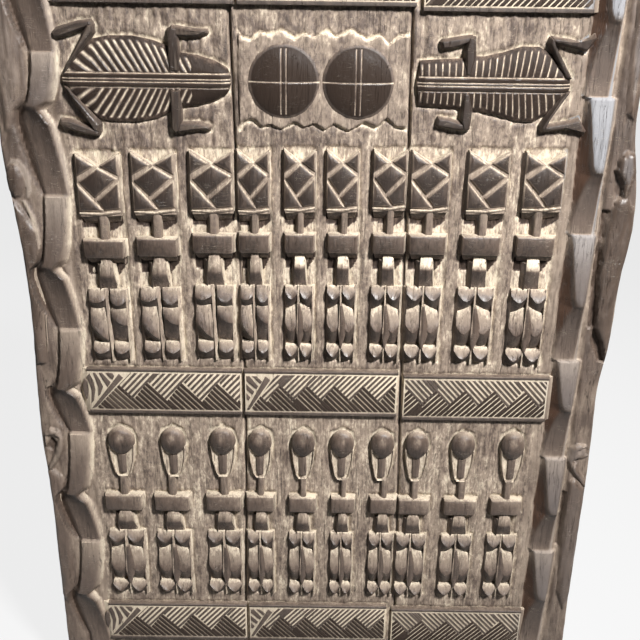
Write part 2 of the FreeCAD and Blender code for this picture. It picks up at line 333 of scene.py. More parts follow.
def wedge(left, right, low, tip, high, crest, top_rise, bow, lean=0.0, pale=0.3, fade=0.9, painted_light_slant=0.25,
          shade=-0.8, slant=0.0, foot_slant=None, melt=0.0):
    """A carved tier: a face that comes forward down to a bowed crest, and a hollow under it; the face is
    painted pale as light, paler to its top and right side, and the hollow painted dark as shade.
    """
    tones = []

    def surface(s, t):
        u = 2 * s - 1
        row = np.interp(t, np.linspace(0, 1, len(WEDGE_ROWS)), WEDGE_ROWS)
        # The hollow takes the first four rows; the face starts at the same crest with the fifth
        upper = t > 3.5 / (len(WEDGE_ROWS) - 1)
        edge = tip + bow * np.abs(u)**1.7 + lean * u
        foot = low + 0.6 * bow * u * u + (0.5 * lean if foot_slant is None else foot_slant) * u
        peak_rise = crest * (1 - 0.28 * np.abs(u)**2.5)
        down = np.clip(row, 0, 1)
        up = np.clip(row - 1, 0, 1)
        z = np.where(upper, edge + (high + slant * u - edge) * up, foot + (edge - 0.7 - foot) * down)
        rise = np.where(upper, peak_rise + (top_rise - peak_rise) * up**0.9,
                        0.3 + (peak_rise - 0.9) * down**0.8)
        # Painted light on the face, paler toward its top and right; painted shade in the hollow, lighter
        # near the crest by melt
        tones.append(np.where(upper, pale + fade * (up - 0.5) + painted_light_slant * u, shade + melt * down**3))
        return (left + (right - left) * s) * MM, -rise * MM, z * MM

    piece = sheet_solid("wedge", 6, len(WEDGE_ROWS) - 1, surface, 18 * MM)
    set_front(piece, tones[0], 3.0)
    return piece


def flank(near, far, low, high, rise, foot=-3.5, tone=0.8):
    """The slope beside a raised part, down to the ground, in one tone: pale on a part's right as painted
    light, dark on its left as painted shade.
    """
    middle = (rise + foot) * 0.45
    row = (near, far, rise, middle, foot) if far > near else (far, near, foot, middle, rise)
    return loft([(low, *row), (high, *row)], tone=tone, root=6.0)


def round_legs(hip):
    """Legs of the figures on the left: rounded thighs, leaning calves and a straight sliver."""
    left, right, near, far = -29.5, -5.5, 1.8, 24.0
    sliver = [(-1, -3.0, 1.0, 5, 4.0, 2.0), (30, -3.6, 0.6, 7.5, 6.5, 4.0),
              (90, -5.2, -1.0, 8.0, 7.0, 4.5), (hip + 1, -6.6, -2.2, 7.0, 6.0, 4.0)]
    return [wedge(left, right, hip - 35, hip - 19, hip, 14.5, 4.5, 4.0, 1.2),
            wedge(near, far, hip - 37, hip - 23, hip, 14.5, 4.5, 7.0, -1.2, pale=0.0, painted_light_slant=0.4),
            wedge(left, right, 31, 50, hip - 30, 15.0, 4.0, 1.0, -13.0, pale=0.25, fade=0.9, painted_light_slant=0.4),
            wedge(near, far, 31, 66, hip - 31, 13.5, 8.0, 2.0, -6.5, pale=0.1, fade=1.2, painted_light_slant=0.35),
            wedge(left + 1, right, 0, 16, 31, 14.5, 6.0, 5.0),
            wedge(near + 1, far, 0, 16, 31, 14.5, 6.0, 5.0),
            loft(sliver, tone=0.5)]


def tulip_legs(hip):
    """Legs of the other figures: cupped thighs, hollowed calves and a leaf-shaped ridge between them."""
    pieces = []
    for side, left, right in ((-1, -29.5, -4.5), (1, 0.5, 25.0)):
        slant = -5.5 * side
        pieces.append(wedge(left, right, hip - 35, hip - 18, hip, 13.5, 4.0, 10.0, pale=0.15, fade=1.0,
                            painted_light_slant=0.1, foot_slant=slant))
        pieces.append(wedge(left, right, 26, 50, hip - 32, 13.5, 4.0, 12.0, pale=0.45, fade=0.9,
                            painted_light_slant=0.0, shade=-0.9, slant=slant, foot_slant=0.0, melt=0.9))
        pieces.append(wedge(left, right, 0, 11, 27, 14.0, 5.0, 11.0, pale=0.4, fade=0.8, painted_light_slant=0.0))
    leaf = [(-3, 25), (1, 25), (10.5, 52), (0.5, hip - 27), (-4, hip - 27), (-8.5, 52)]
    pieces.append(crowned(leaf, [(0, 9.0), (1.0, 2.0)], 3.2, tone=-0.05, painted_light_slant=-0.2))
    sliver = [(-1, -3.0, 0.5, 5, 4.0, 2.0), (26, -3.4, 0.2, 8.5, 7.5, 5.0),
              (55, -6.2, -2.2, 13.0, 13.0, 11.0),
              (hip - 27, -4.5, -1.0, 10.5, 9.5, 7.0), (hip + 1, -4.5, -1.0, 8.0, 7.0, 5.0)]
    pieces.append(loft(sliver, tone=0.8))
    return pieces


def round_torso(hip, waist):
    """A torso that swells out of the thighs; its lower end is painted dark as shade and its upper part
    pale as light.
    """
    return loft([(hip - 6, -12 * waist, 11.5 * waist, 0.5, 1.0, 0.5, -0.6),
                 (hip + 3, -11.5 * waist, 11 * waist, 1.5, 3.5, 2.0, -0.85),
                 (hip + 19, -9 * waist, 8.5 * waist, 9.0, 12.5, 9.5, -0.5),
                 (hip + 24, -8.5 * waist, 8 * waist, 10, 13.5, 10.5, 0.4),
                 (hip + 34, -8 * waist, 7.5 * waist, 9.0, 12, 9.5, 0.9), (170, -6.5, 6, 6, 7, 6, 0.4)])


def cupped_torso(hip, waist):
    """A torso with a sharp crest, with painted light above it and painted shade below."""
    return loft([(hip - 2, -10 * waist, 9.5 * waist, 1.0, 2.0, 1.0, -0.2),
                 (hip + 10, -9.5 * waist, 9 * waist, 5, 7.5, 5, -0.8),
                 (hip + 26, -9 * waist, 8.5 * waist, 9.5, 12.5, 9.5, -0.6),
                 (hip + 30, -9 * waist, 8.5 * waist, 9.5, 12.5, 9.5, 0.9),
                 (hip + 36, -8.5 * waist, 8 * waist, 7.5, 9.5, 7.5, 1.6),
                 (170, -7.5 * waist, 7 * waist, 1, 1, 1, 1.4)])


def trunk_template(hip, waist, neck_top, shoulder_tone, legs, torso):
    """Neck, shoulders, torso and legs; hip is the top of the thighs and waist scales the torso."""
    neck = slab(rectangle(-6.5, 6.5, 190, neck_top), [(0, 4.5), (1.8, 3.2), (1.8, 0.8)], tone=0.1)
    shoulders = crowned([(-28, 168), (26, 168), (28, 172), (28, 196), (-30, 196), (-30, 172)],
                        [(0, 9.0), (1.2, 3.2), (1.6, 0.8)], 2.0, tone=shoulder_tone, painted_light_slant=0.35,
                        painted_edge_light=(0.15, 1.0))
    # The loft under the shoulders is painted dark as shade
    under = loft([(158, -24, 24, -2, -2, -2), (168, -28, 27, 8.5, 8.5, 8.5),
                  (169, -28, 27, 9.0, 9.0, 9.0)], tone=-0.7)
    # The strip on the torso's right is painted pale as light
    body_side = [(hip - 2, 10.5 * waist, 10.5 * waist + 3.5, 3, 0, -3),
                 (158, 7 * waist, 7 * waist + 3, 9, 3, -3)]
    # Flanks: pale ones on the right are painted light, dark ones on the left painted shade
    pieces = [neck, shoulders, under, torso(hip, waist), flank(28, 32, 169, 196, 9.5)]
    for near, far, low, high, rise in (
            (-29.5, -34.5, 166, 195, 9.0), (-6, -10.5, 196, 228, 6.0),
            (-9 * waist, -9 * waist - 6, hip, 156, 8.0), (-28.5, -34.5, 1, hip - 2, 6.5)):
        pieces.append(flank(near, far, low, high, rise, tone=-0.9))
    pieces.append(loft(body_side, tone=0.7, root=6.0))
    pieces += legs(hip)
    pieces.append(flank(24.0, 29.5, -1, hip, 7.0, tone=0.55))
    return joined(pieces, "trunk_template")


def face_head_template():
    """A squared head: a notched block with a raised lozenge and four raised corners."""
    block = slab([(-28, -4), (30, -2), (30, 85), (1, 68), (-30, 86), (-30, 2)],
                 [(0, 6.5), (1.2, 1.5)], tone=0.6)
    raised = (
        [(-27, 47), (-5, 24), (27.5, 51), (1, 66.5)],
        [(-29.5, 53), (-3.0, 68), (-29.5, 85)],
        [(29.5, 55), (29.5, 84.5), (4, 69)],
        [(-29.5, 44), (-29.5, 4), (5, 6)],
        [(29.5, 48.5), (-3.5, 20.5), (7.5, 6.5), (29.5, 9)],
    )
    # Flanks: the pale one on the right is painted light, the dark one on the left painted shade
    pieces = [block, flank(29.5, 33.5, 1, 82, 8.5, tone=0.6), flank(-29.5, -35.5, -3, 83, 9.0, tone=-0.9)]
    for corners in raised:
        crown = 2.6 if corners is raised[0] else 1.6
        pieces.append(crowned(corners, [(0, 8.4), (1.5, 2.4), (1.6, 0.8)], crown, root=-5.0,
                              tone=-0.65, painted_light_slant=0.3, painted_edge_light=(0.3, 1.0)))
    # The chin's tones: painted shade on its underside, a painted highlight along its edge
    chin = loft([(-14, -25, 26, -3, -3, -3, -0.7), (-1.0, -28.5, 29.5, 7.5, 8.8, 7.5, -0.85),
                 (0.8, -29, 29.5, 8.8, 10.0, 8.8, 0.7), (2.7, -29, 29.5, 9.3, 10.6, 9.3, 1.1),
                 (3.8, -29, 29.5, 7, 7, 7, 0.6)], root=6.0)
    # The chin's edge rises from its middle to both sides, more to the right
    for vertex in chin.data.vertices:
        vertex.co.z += 0.05 * vertex.co.x + 0.075 * abs(vertex.co.x) - 1.0 * MM
    pieces.append(chin)
    return joined(pieces, "face_head_template")


def egg_head_template():
    """A polished egg-shaped head over a dished face with a bar down its middle; its dome is painted paler
    toward the upper right and carries a painted highlight.
    """
    dish = slab([(-8, 0), (8, 0), (13, 8), (18.5, 33), (20.5, 58), (-20.5, 58), (-18.5, 33), (-13, 8)],
                [(0, 6.5), (1.6, 2.0), (1.2, -3.4)], tone=0.85)
    bar = loft([(5, -5, 5, 2, 4, 2), (9, -5.5, 5.5, 8, 10, 8), (42, -6.5, 6.5, 8, 10.5, 8)], tone=-0.2)
    half = [(3, 39.5), (12, 46), (19.5, 54), (21.5, 63), (20.5, 73), (16.5, 82), (9.5, 88.5)]
    outline = half + [(0, EGG_HEIGHT)] + [(-x, z) for x, z in reversed(half)]
    dome = slab(outline, [(0, 5.0), (1.6, 3.8), (3.0, 3.0), (4.5, 2.0), (5.0, 0.9)], tone=-0.25)
    modifier(dome, "SUBSURF", subdivision_type="CATMULL_CLARK", levels=2, render_levels=2)
    set_tone(dome, 0.0)
    # Painted light on the dome: paler toward the upper right, with a painted highlight spot above its
    # middle
    for vertex, spot in zip(dome.data.vertices, dome.data.attributes["tone"].data):
        toward = (0.5 * vertex.co.x + vertex.co.z) / MM - 64
        shine = math.hypot(vertex.co.x / MM + 1, (vertex.co.z / MM - 73) / 1.3) / 9
        spot.value = -0.3 + 0.55 * max(-1, min(1, toward / 26)) + 0.9 * max(0, 1 - shine * shine)
    return joined([dish, bar, dome], "egg_head_template")


# Each figure: middle of its head and body, width, feet, shoulders' top, chin and top of the head
UPPER_FIGURES = (
    (-306.5, -304, 59, -72, 117, 152, 238), (-231, -229, 59, -70, 121, 155, 241),
    (-151.5, -150.5, 59, -68, 127.5, 158, 244), (-94, -93, 44, -68, 129, 158, 246),
    (-30.5, -29.5, 43, -68, 130, 161, 247), (28, 31.5, 44, -68, 130.5, 162, 247),
    (92.5, 95.5, 46, -68, 131, 165, 248), (148, 150, 53, -68, 130.5, 163, 248),
    (226.5, 225, 56, -69, 130.5, 163, 248), (303, 301, 55, -72, 130.5, 166, 248))
LOWER_FIGURES = (
    (-304, -305, 60, -496, -301, -270, -182), (-224, -229, 57, -496, -301, -270, -182),
    (-147.5, -147, 57, -495, -300, -269, -181), (-90, -89.5, 44, -495, -300, -270, -182),
    (-23.5, -23, 44, -495.5, -301, -271, -182.5), (37, 40.5, 38, -496, -301, -272, -183),
    (99.5, 104.5, 42, -496, -301, -272, -183), (152.5, 153, 50, -496.5, -302, -272, -183),
    (223.5, 226.5, 53, -496.5, -302, -272, -183), (300.5, 299, 50, -496, -301, -272, -182))


def place_figures(figures, head_template, head_height, least_width, trunks):
    """A copy of the head and of one trunk for each figure, by plank; trunks are (left, right)."""
    groups = ([], [], [])
    for head_across, body_across, width, feet, shoulder, chin, top in figures:
        group = groups[plank_at(body_across)]
        share = width / BODY_WIDTH
        trunk = trunks[body_across > TULIPS_START]
        group.append(copy_of(trunk, body_across, feet, share, (shoulder - feet) / TRUNK_HEIGHT))
        head_share = max(share, least_width)
        group.append(copy_of(head_template, head_across, chin, head_share, (top - chin) / head_height))
    return groups


# Braided bands: bars left standing between knife grooves, woven from two directions

BAND_HIGH = -84.0
BAND_LOW = -158.0
RAIL_HIGH = 4.2
RAIL_LOW = 5.4
FLOOR_RISE = 6.7
BAR_RISE = 8.0
BARS_IN_GROUP = 6
BAND_DROPS = (0.0, 0.0, -5.0)
BRAID_GROUPS = (
    # end to start from, end to stop at, first apex, step to the next apex, 1 for / above or -1 for \,
    # mm across for each mm up at the left end
    (-344.0, -118.5, -307.0, 51.0, 1, 0.92),
    (-109.0, 115.0, -62.0, 43.0, 1, 0.66),
    (129.0, 341.0, 312.0, -44.0, -1, 0.0),
)
# The left and middle bands begin with one broad bar and a fan of short strokes over it
BRAID_FANS = (
    ([(-344, -151), (-336, -148), (-293, -99), (-299, -92)],
     [(-355, -112), (-351, -101), (-347, -106), (-346, -122), (-350, -136), (-353, -128)],
     [(-347, -97), (-343, -92), (-338, -104), (-336, -119), (-340, -138), (-344, -143), (-342, -120)],
     [(-338, -91), (-334, -91), (-328, -103), (-324, -114), (-329, -127), (-333, -130), (-331, -116)],
     [(-329, -91), (-324, -91), (-318, -99), (-312, -106), (-317, -115), (-324, -102)],
     [(-319, -91), (-309, -91), (-306, -96), (-309, -102), (-314, -98)]),
    ([(-109, -149), (-105, -150), (-73, -99), (-80, -93)],
     [(-109, -93), (-104, -93), (-91, -110), (-94, -115), (-109, -101)],
     [(-109, -106), (-97, -119), (-100, -124), (-109, -116)],
     [(-100, -93), (-94, -93), (-85, -102), (-88, -106)],
     [(-109, -121), (-103, -129), (-106, -134), (-109, -132)]),
    (),
)


def bar(start_a, start_b, way, limit, margin=1.3):
    """One bar from a base line to a level line, as its four corners."""
    corners = []
    for across, up in (start_a, start_b):
        run = (limit - up) / way[1]
        corners.append(((across + way[0] * margin, up + way[1] * margin), (across + way[0] * run, limit)))
    (near_a, far_a), (near_b, far_b) = corners
    return [near_a, near_b, far_b, far_a]


def outline_area(corners):
    """The area inside an outline: above 0 when its corners run to the left round."""
    return sum(a[0] * b[1] - b[0] * a[1] for a, b in zip(corners, corners[1:] + corners[:1])) / 2


def counter_clockwise(corners):
    return corners if outline_area(corners) > 0 else corners[::-1]


def clipped(corners, left, right, lean=0.0):
    """The corners kept between two lines; the left one leans by lean mm across for each mm up."""
    for limit, slope, side in ((left, lean, 1), (right, 0.0, -1)):
        kept = []
        for (ax, az), (bx, bz) in zip(corners, corners[1:] + corners[:1]):
            a_off = (ax - limit - slope * (az - BAND_LOW)) * side
            b_off = (bx - limit - slope * (bz - BAND_LOW)) * side
            if a_off >= 0:
                kept.append((ax, az))
            if (a_off >= 0) != (b_off >= 0):
                share = a_off / (a_off - b_off)
                kept.append((ax + (bx - ax) * share, az + (bz - az) * share))
        corners = kept
        if not corners:
            return []
    return corners


def braid_bars(start, stop, apex, step, hand, lean):
    """Outline and tone of each bar of one band; the upper bars are paler, as painted light."""
    low, high = BAND_LOW + RAIL_LOW + 2.0, BAND_HIGH - RAIL_HIGH - 2.6
    middle = (low + high) / 2
    rise = (high - low) * 0.5
    left, right = min(start, stop), max(start, stop)
    outlines = []
    groups = int(abs(stop - start) / abs(step)) + 3
    for group in range(-2, groups):
        wander = chance.uniform(-3, 3)
        apex_point = (apex + step * group + wander, middle + rise * 0.55)
        valley = (apex + step * (group + 0.52) + wander, middle - rise * 0.55)
        next_apex = (apex + step * (group + 1) + wander, middle + rise * 0.55)
        for index in range(BARS_IN_GROUP):
            for begin, end, way, limit, groove in (
                    (apex_point, valley, (hand * 0.67, 0.74), high, 0.22),
                    (valley, next_apex, (hand * 0.69, -0.72), low, 0.13)):
                shares = ((index + groove) / BARS_IN_GROUP, (index + 1 - groove) / BARS_IN_GROUP)
                points = [(begin[0] + (end[0] - begin[0]) * s, begin[1] + (end[1] - begin[1]) * s)
                          for s in shares]
                corners = clipped(bar(points[0], points[1], way, limit), left, right, lean)
                corners = counter_clockwise(corners)
                if len(corners) > 2 and outline_area(corners) > 9:
                    outlines.append((corners, -0.7 if limit == high else -1.2))
    return outlines


def braid_template(plank):
    """One braided band with its rails, at the height of the middle one."""
    start, stop, apex, step, hand, lean = BRAID_GROUPS[plank]
    left, right = min(start, stop), max(start, stop)
    low, high = BAND_LOW + 1, BAND_HIGH - 1
    # The floor's cream is the cut wood's own colour, pushed paler as painted light in the narrow grooves
    pieces = [slab(rectangle(left - 2, right + 2, low, high), [(0, FLOOR_RISE)], tone=1.6)]
    for rail_low, rail_high in ((BAND_HIGH - RAIL_HIGH, BAND_HIGH), (BAND_LOW, BAND_LOW + RAIL_LOW)):
        pieces.append(slab(rectangle(left - 3, right + 3, rail_low, rail_high),
                           [(0, 7.0), (0.7, 1.2)], tone=-0.85))
    # The left end's slope faces away from the light and is painted pale as light
    if plank == 0:
        pieces.append(flank(left - 2, left - 15, low, high, FLOOR_RISE, foot=-1.0, tone=1.0))
    if plank == 2:
        pieces.append(flank(right + 2, right + 10, low, high, FLOOR_RISE, foot=-1.0, tone=0.0))
    fan = [(counter_clockwise(list(corners)), -0.6) for corners in BRAID_FANS[plank]]
    for corners, tone in braid_bars(start, stop, apex, step, hand, lean) + fan:
        pieces.append(slab(corners, [(0, BAR_RISE - 0.9), (0.5, 0.9)], root=-2.0, tone=tone))
    band = joined(pieces, "braid_template_" + str(plank))
    band.data.transform(Matrix.Translation((0, 0, BAND_DROPS[plank] * MM)))
    return band


BRAID_LIFTS = {"middle": 0.0, "upper": 588.0, "lower": -432.0}

# Animals seen from above, the half below the spine; the half above mirrors it

SPINE = 335.0
BELLY_LEFT = [(-343, 330), (-336, 316), (-318, 298), (-300, 284), (-280, 280), (-250, 280),
              (-222, 285), (-202, 293), (-188, 300), (-165, 303), (-142, 310), (-126, 319),
              (-122, 330)]
BELLY_RIGHT = [(123, 330), (126, 306), (158, 304), (176, 303), (190, 300), (210, 300), (232, 295),
               (258, 287), (280, 287), (298, 297), (312, 310), (322, 322), (324, 330)]
LEGS_LEFT = (
    ([(-343, 327), (-336, 327), (-296, 277), (-297, 266), (-305, 265)], 10.5),
    ([(-353, 277), (-345, 270), (-318, 262), (-300, 260), (-296, 268), (-306, 272), (-338, 283),
      (-350, 284)], 8.5),
    ([(-203, 325), (-203, 272), (-196, 265), (-188, 270), (-186, 325)], 10.5),
    ([(-203, 270), (-190, 266), (-168, 270), (-150, 270), (-149, 276), (-165, 281), (-190, 281)], 8.5),
)
LEGS_RIGHT = (
    ([(327, 327), (300, 284), (301, 276), (292, 274), (289, 282), (312, 322), (318, 328)], 10.5),
    ([(290, 282), (294, 273), (320, 277), (335, 281), (350, 269), (353, 276), (341, 293), (328, 289),
      (306, 285)], 8.5),
    ([(184, 325), (182, 290), (186, 274), (197, 275), (199, 300), (194, 325)], 10.5),
    ([(150, 282), (153, 279), (176, 275), (192, 273), (196, 282), (168, 291), (153, 292)], 8.5),
)


# Each crocodile: plank, word, belly, legs, how its strokes lean at the left end and how much more at
# the right end, their pitch and width, and the place across past which there are none
CROCODILES = (
    (0, "left", BELLY_LEFT, LEGS_LEFT, 0.8, 0.0, 10.4, 3.0, -172),
    (2, "right", BELLY_RIGHT, LEGS_RIGHT, 0.05, -0.35, 8.9, 1.6, 400),
)


def mirrored(corners, mirror):
    """An outline as it is, or turned over the spine."""
    return [(x, 2 * SPINE - z if mirror else z) for x, z in corners]


def crocodile(belly, legs, lean, fan, pitch, stroke, plain_from):
    """Body with a double spine and incised flanks, and legs; both halves."""
    start, stop = belly[0][0], belly[-1][0]
    tones = []

    def surface(s, t):
        across = start + (stop - start) * s
        low = np.interp(across, [x for x, _ in belly], [z for _, z in belly])
        side = 2 * t - 1
        up = SPINE + side * (SPINE - low)
        away = np.abs(up - SPINE)
        ends = np.clip(np.minimum(s, 1 - s) / 0.05, 0, 1)
        rise = 1.5 + 9.5 * (1 - np.abs(side)**3.2) * (0.45 + 0.55 * ends)
        spine_cut = np.exp(-((away - 9.0) / 1.1)**2) + np.exp(-((away - 2.0) / 1.0)**2)
        rise += 1.3 * (away < 8)
        foot = across - (lean + fan * s) * (SPINE - 9 - low) * (1 - away / (SPINE - low + 0.01))
        wave = np.abs((foot / pitch) % 1 - 0.5) * pitch
        inside = gentle((away - 9) / 3) * gentle((SPINE - low - 3.5 - away) / 3)
        strokes = gentle(1.1 - wave / stroke) * inside * (across < plain_from)
        lines = np.clip(spine_cut + strokes, 0, 1)
        tones.append(-1.3 + 2.7 * lines)
        rise -= 1.7 * lines
        return across * MM, -rise * MM, up * MM

    body = sheet_solid("crocodile_body", 200, 96, surface, 9 * MM)
    set_tones(body, tones[0])
    pieces = []
    for corners, rise in legs:
        for mirror in (False, True):
            outline = counter_clockwise(mirrored(corners, mirror))
            pieces.append(slab(outline, [(0, 2.5), (2.6, rise - 1.5), (1.2, 1.2)], tone=-0.8))
    return body, pieces


SKIRT_LINE = [(-112, 272), (-107, 281), (-95, 285), (-82, 275), (-70, 278), (-55, 272), (-38, 282),
              (-25, 275), (-12, 280), (3, 272), (15, 280), (35, 271), (55, 282), (72, 276),
              (85, 288), (98, 277), (112, 275)]
SKIRT = SKIRT_LINE + mirrored(SKIRT_LINE[::-1], True)


def tortoise(across, half_width, half_height):
    """A domed shell with the lines scored across it."""
    tones = []

    def surface(s, t):
        u, v = 2 * s - 1, 2 * t - 1
        x = half_width * u * np.sqrt(1 - v * v / 2)
        z = half_height * v * np.sqrt(1 - u * u / 2)
        out = np.clip((x / half_width)**2 + (z / half_height)**2, 0, 1)
        rise = 3.0 + 12.0 * (1 - out)**0.62
        spine_lines = np.exp(-((np.abs(x) - 3.4) / 0.9)**2) * (np.abs(z) < half_height * 0.86)
        lines = np.clip(np.exp(-(z / 1.0)**2) + spine_lines, 0, 1)
        # Paler toward the rim: the shell's brown rim, and painted shading that rounds the dome
        tones.append(-1.35 + 0.85 * gentle((out - 0.74) / 0.2) + 2.7 * lines)
        return (across + x) * MM, -(rise - 1.0 * lines) * MM, (SPINE + z) * MM

    shell = sheet_solid("tortoise", 96, 96, surface, 8 * MM)
    set_tones(shell, tones[0])
    return shell


# Snakes: places across are measured outwards from the middle, on either side

SNAKE_STEPS_LEFT = (560, 368, 177, -22, -194, -392, -588)
SNAKE_KNEES_LEFT = (492, 300, 76, -116, -300, -492)
SNAKE_STEPS_RIGHT = (516, 320, 132, -61, -226, -400, -590)
SNAKE_KNEES_RIGHT = (418, 221, 28, -140, -325, -492)
# Rows down a kink: share of the way; outer foot, outer edge, ridge, inner edge and inner foot across;
# the heights there; the tones of the face, the outer hollow and the inner slope, which paint light and
# shade:
# bars pale as lit and facets dark as shaded, painted shadow in the left snake's outer hollows and the
# right snake's inner pockets, painted light on the left snake's inner slopes
BAR_ROWS_LEFT = (
    (0.00, 384, 381, 367, 354, 347, 3, 9.5, 10.5, 9.5, 0, 0.75, -0.2, 0.8),
    (0.35, 386, 382.5, 369, 356, 350, 2, 11.5, 13, 12, 0, 0.45, -0.3, 0.8),
    (0.70, 391, 386.5, 376, 363, 354, 1, 13, 14.5, 13.5, -1, 0.3, -0.6, 0.6),
    (0.92, 397, 390.5, 382, 371, 360, -1, 14, 15.5, 14.5, -2.5, 0.2, -0.9, 0.1),
    (1.00, 403, 394, 386, 379, 365, -2, 14, 16, 14.5, -4, 0.1, -0.9, -0.6),
)
FACET_ROWS_LEFT = (
    (0.05, 409, 398, 390, 380, 372, -4, 6, 11, 15, -3, -0.67, -1.35, 0.3),
    (0.20, 411, 398, 384, 367, 361, -4, 4, 8, 12.5, 1, -0.72, -1.35, 0.5),
    (0.45, 406, 392, 377, 361, 355, -4, 3, 6, 9.5, 1, -0.72, -1.35, 0.4),
    (0.72, 398, 386, 370, 356, 350, -3, 3.5, 5, 7.5, 0.5, -0.62, -1.35, 0.35),
    (0.985, 387, 381, 364, 352, 346, -2, 4, 5, 5.5, 0, -0.37, -1.1, 0.4),
)
BAR_ROWS_RIGHT = (
    (0.00, 386, 382, 369, 355, 348, 6, 10, 10.5, 9.5, 0, 0.6, 0.1, 0.2),
    (0.30, 386, 382, 370, 358, 348, 5, 12, 13, 12, -4, 0.4, 0.1, -0.8),
    (0.65, 385, 381, 372, 363, 348, 5, 13.5, 14.5, 13, -6, 0.3, 0.1, -1.0),
    (0.90, 384, 380.5, 374, 367, 347, 4, 15, 16, 14.5, -7, 0.25, 0.1, -1.0),
    (1.00, 383, 380, 375.5, 370.5, 348, 3, 15.5, 17, 15, -7, 0.1, 0.1, -1.0),
)
FACET_ROWS_RIGHT = (
    (0.05, 383, 380, 374, 369, 348, 5, 13, 13, 12, -7, -0.6, 0.1, -1.0),
    (0.20, 382, 379, 370, 361, 348, 5, 10.5, 10, 9, -6, -0.7, 0.2, -1.0),
    (0.45, 381, 378, 366, 355, 348, 5, 8.5, 8, 6.5, -4, -0.65, 0.3, -0.9),
    (0.75, 380, 377, 363, 350, 346, 5, 7, 6, 5, -1, -0.5, 0.3, -0.5),
    (0.985, 380, 376, 361, 347, 343, 5, 6, 5.5, 4.5, 0, -0.1, 0.3, 0.2),
)


def snake_rows(steps, knees, bars, facets):
    """Rows down the whole snake: height, then places across and heights as in the kinks' rows."""
    rows = []
    for top, knee, low in zip(steps, knees, steps[1:]):
        sway = chance.uniform(-1.5, 1.5)
        for share, *row in bars:
            rows.append([top - 1.2 - (top - 1.2 - knee) * share] + [a + sway for a in row[:5]] + row[5:])
        for share, *row in facets:
            rows.append([knee - (knee - low) * share] + [a + sway for a in row[:5]] + row[5:])
    return np.array(rows[::-1], float)


SNAKES = {-1: snake_rows(SNAKE_STEPS_LEFT, SNAKE_KNEES_LEFT, BAR_ROWS_LEFT, FACET_ROWS_LEFT),
          1: snake_rows(SNAKE_STEPS_RIGHT, SNAKE_KNEES_RIGHT, BAR_ROWS_RIGHT, FACET_ROWS_RIGHT)}
OUTER_BLEND = 4
INNER_BLEND = 3


def with_snake(side, across, up, proud, tone):
    """The ground and its tone with the snake of one side standing on it, and where the snake lies."""
    rows = SNAKES[side]
    out = side * across
    knots = [np.interp(up, rows[:, 0], column) for column in rows.T[1:]]
    places, rises, shades = knots[:5], knots[5:10], knots[10:]
    places = [places[0] + OUTER_BLEND] + places + [places[4] - INNER_BLEND]
    rises = [proud] + rises + [proud]
    shades = [0.45 * shades[1], shades[1], shades[0], shades[0], shades[0], shades[2], tone]
    shaped, shaded = proud.copy(), tone.copy()
    for index in range(6):
        outer, inner = places[index], places[index + 1]
        here = (out <= outer) & (out > inner)
        share = (outer - out) / np.maximum(outer - inner, 0.01)
        shaped = np.where(here, rises[index] + (rises[index + 1] - rises[index]) * share, shaped)
        blend = share**2 if index == 1 else (np.minimum(share * 3, 1) if index == 4 else share)
        shaded = np.where(here, shades[index] + (shades[index + 1] - shades[index]) * blend, shaded)
    on_snake = ((out <= places[0]) & (out >= places[6])).astype(float)
    return shaped, shaded, on_snake


# Border creatures: outlines of long bodies, round heads and beaks, and how they swell

CREATURE_RIGHT = [(410, 187), (420, 188), (430, 170), (434, 140), (431, 110), (427, 70), (425, 20),
                  (424, -40), (421, -60), (418, -50), (412, -30), (402, -10), (399, 20), (396, 60),
                  (396, 100), (398, 140), (401, 165), (404, 180)]
KNOB_RIGHT = [(411, 186), (411, 205), (401, 222), (401, 240), (412, 251), (423, 246), (428, 222),
              (423, 200), (419, 186)]
CREATURE_LEFT = [(-429, 178), (-421, 166), (-411, 152), (-398, 128), (-397, 90), (-399, 40),
                 (-402, -10), (-404, -60), (-406, -78), (-420, -78), (-421, 0), (-423, 100),
                 (-427, 150)]
STRIP_LEFT = [(-416, 172), (-409, 170), (-399, 150), (-394, 128), (-394, 60), (-397, 0),
              (-400, -60), (-402, -60), (-401, 0), (-399, 60), (-399, 118), (-407, 148)]
RIM_LEFT = [(-431, 216), (-424, 229), (-413, 229), (-403, 217), (-398, 200), (-399, 184),
            (-403, 174), (-409, 172), (-408, 190), (-410, 204), (-415, 217), (-424, 221)]
KNOB_LEFT = [(-433, 200), (-431, 184), (-425, 175), (-415, 175), (-408, 188), (-408, 203),
             (-413, 217), (-419, 222), (-427, 219), (-432, 210)]
BEAK_RIGHT = [(420, -214), (414, -204), (401, -200), (388, -208), (384, -225), (392, -246),
              (404, -262), (416, -276), (421, -280), (418, -262), (404, -244), (398, -232),
              (406, -228), (418, -222)]
BEAK_LEFT = [(-421, -222), (-421, -195), (-412, -184), (-398, -190), (-391, -203), (-393, -222),
             (-403, -242), (-414, -258), (-421, -262), (-419, -250), (-408, -228), (-405, -212),
             (-411, -203), (-416, -212)]
LOWER_BODY_RIGHT = [(393, -268), (402, -262), (419, -280), (420, -300), (420, -390), (420, -480),
                    (412, -520), (398, -480), (393, -400), (391, -300)]
LOWER_BODY_LEFT = [(-423, -262), (-414, -258), (-400, -272), (-396, -300), (-396, -400),
                   (-402, -480), (-412, -520), (-422, -500), (-423, -400)]
UPPER_BODY_RIGHT = [(402, 300), (414, 290), (417, 330), (418, 420), (416, 520), (405, 540),
                    (399, 480), (398, 380)]
UPPER_BODY_LEFT = [(-428, 262), (-418, 268), (-406, 300), (-400, 330), (-398, 400), (-402, 500),
                   (-414, 545), (-425, 500), (-428, 400)]
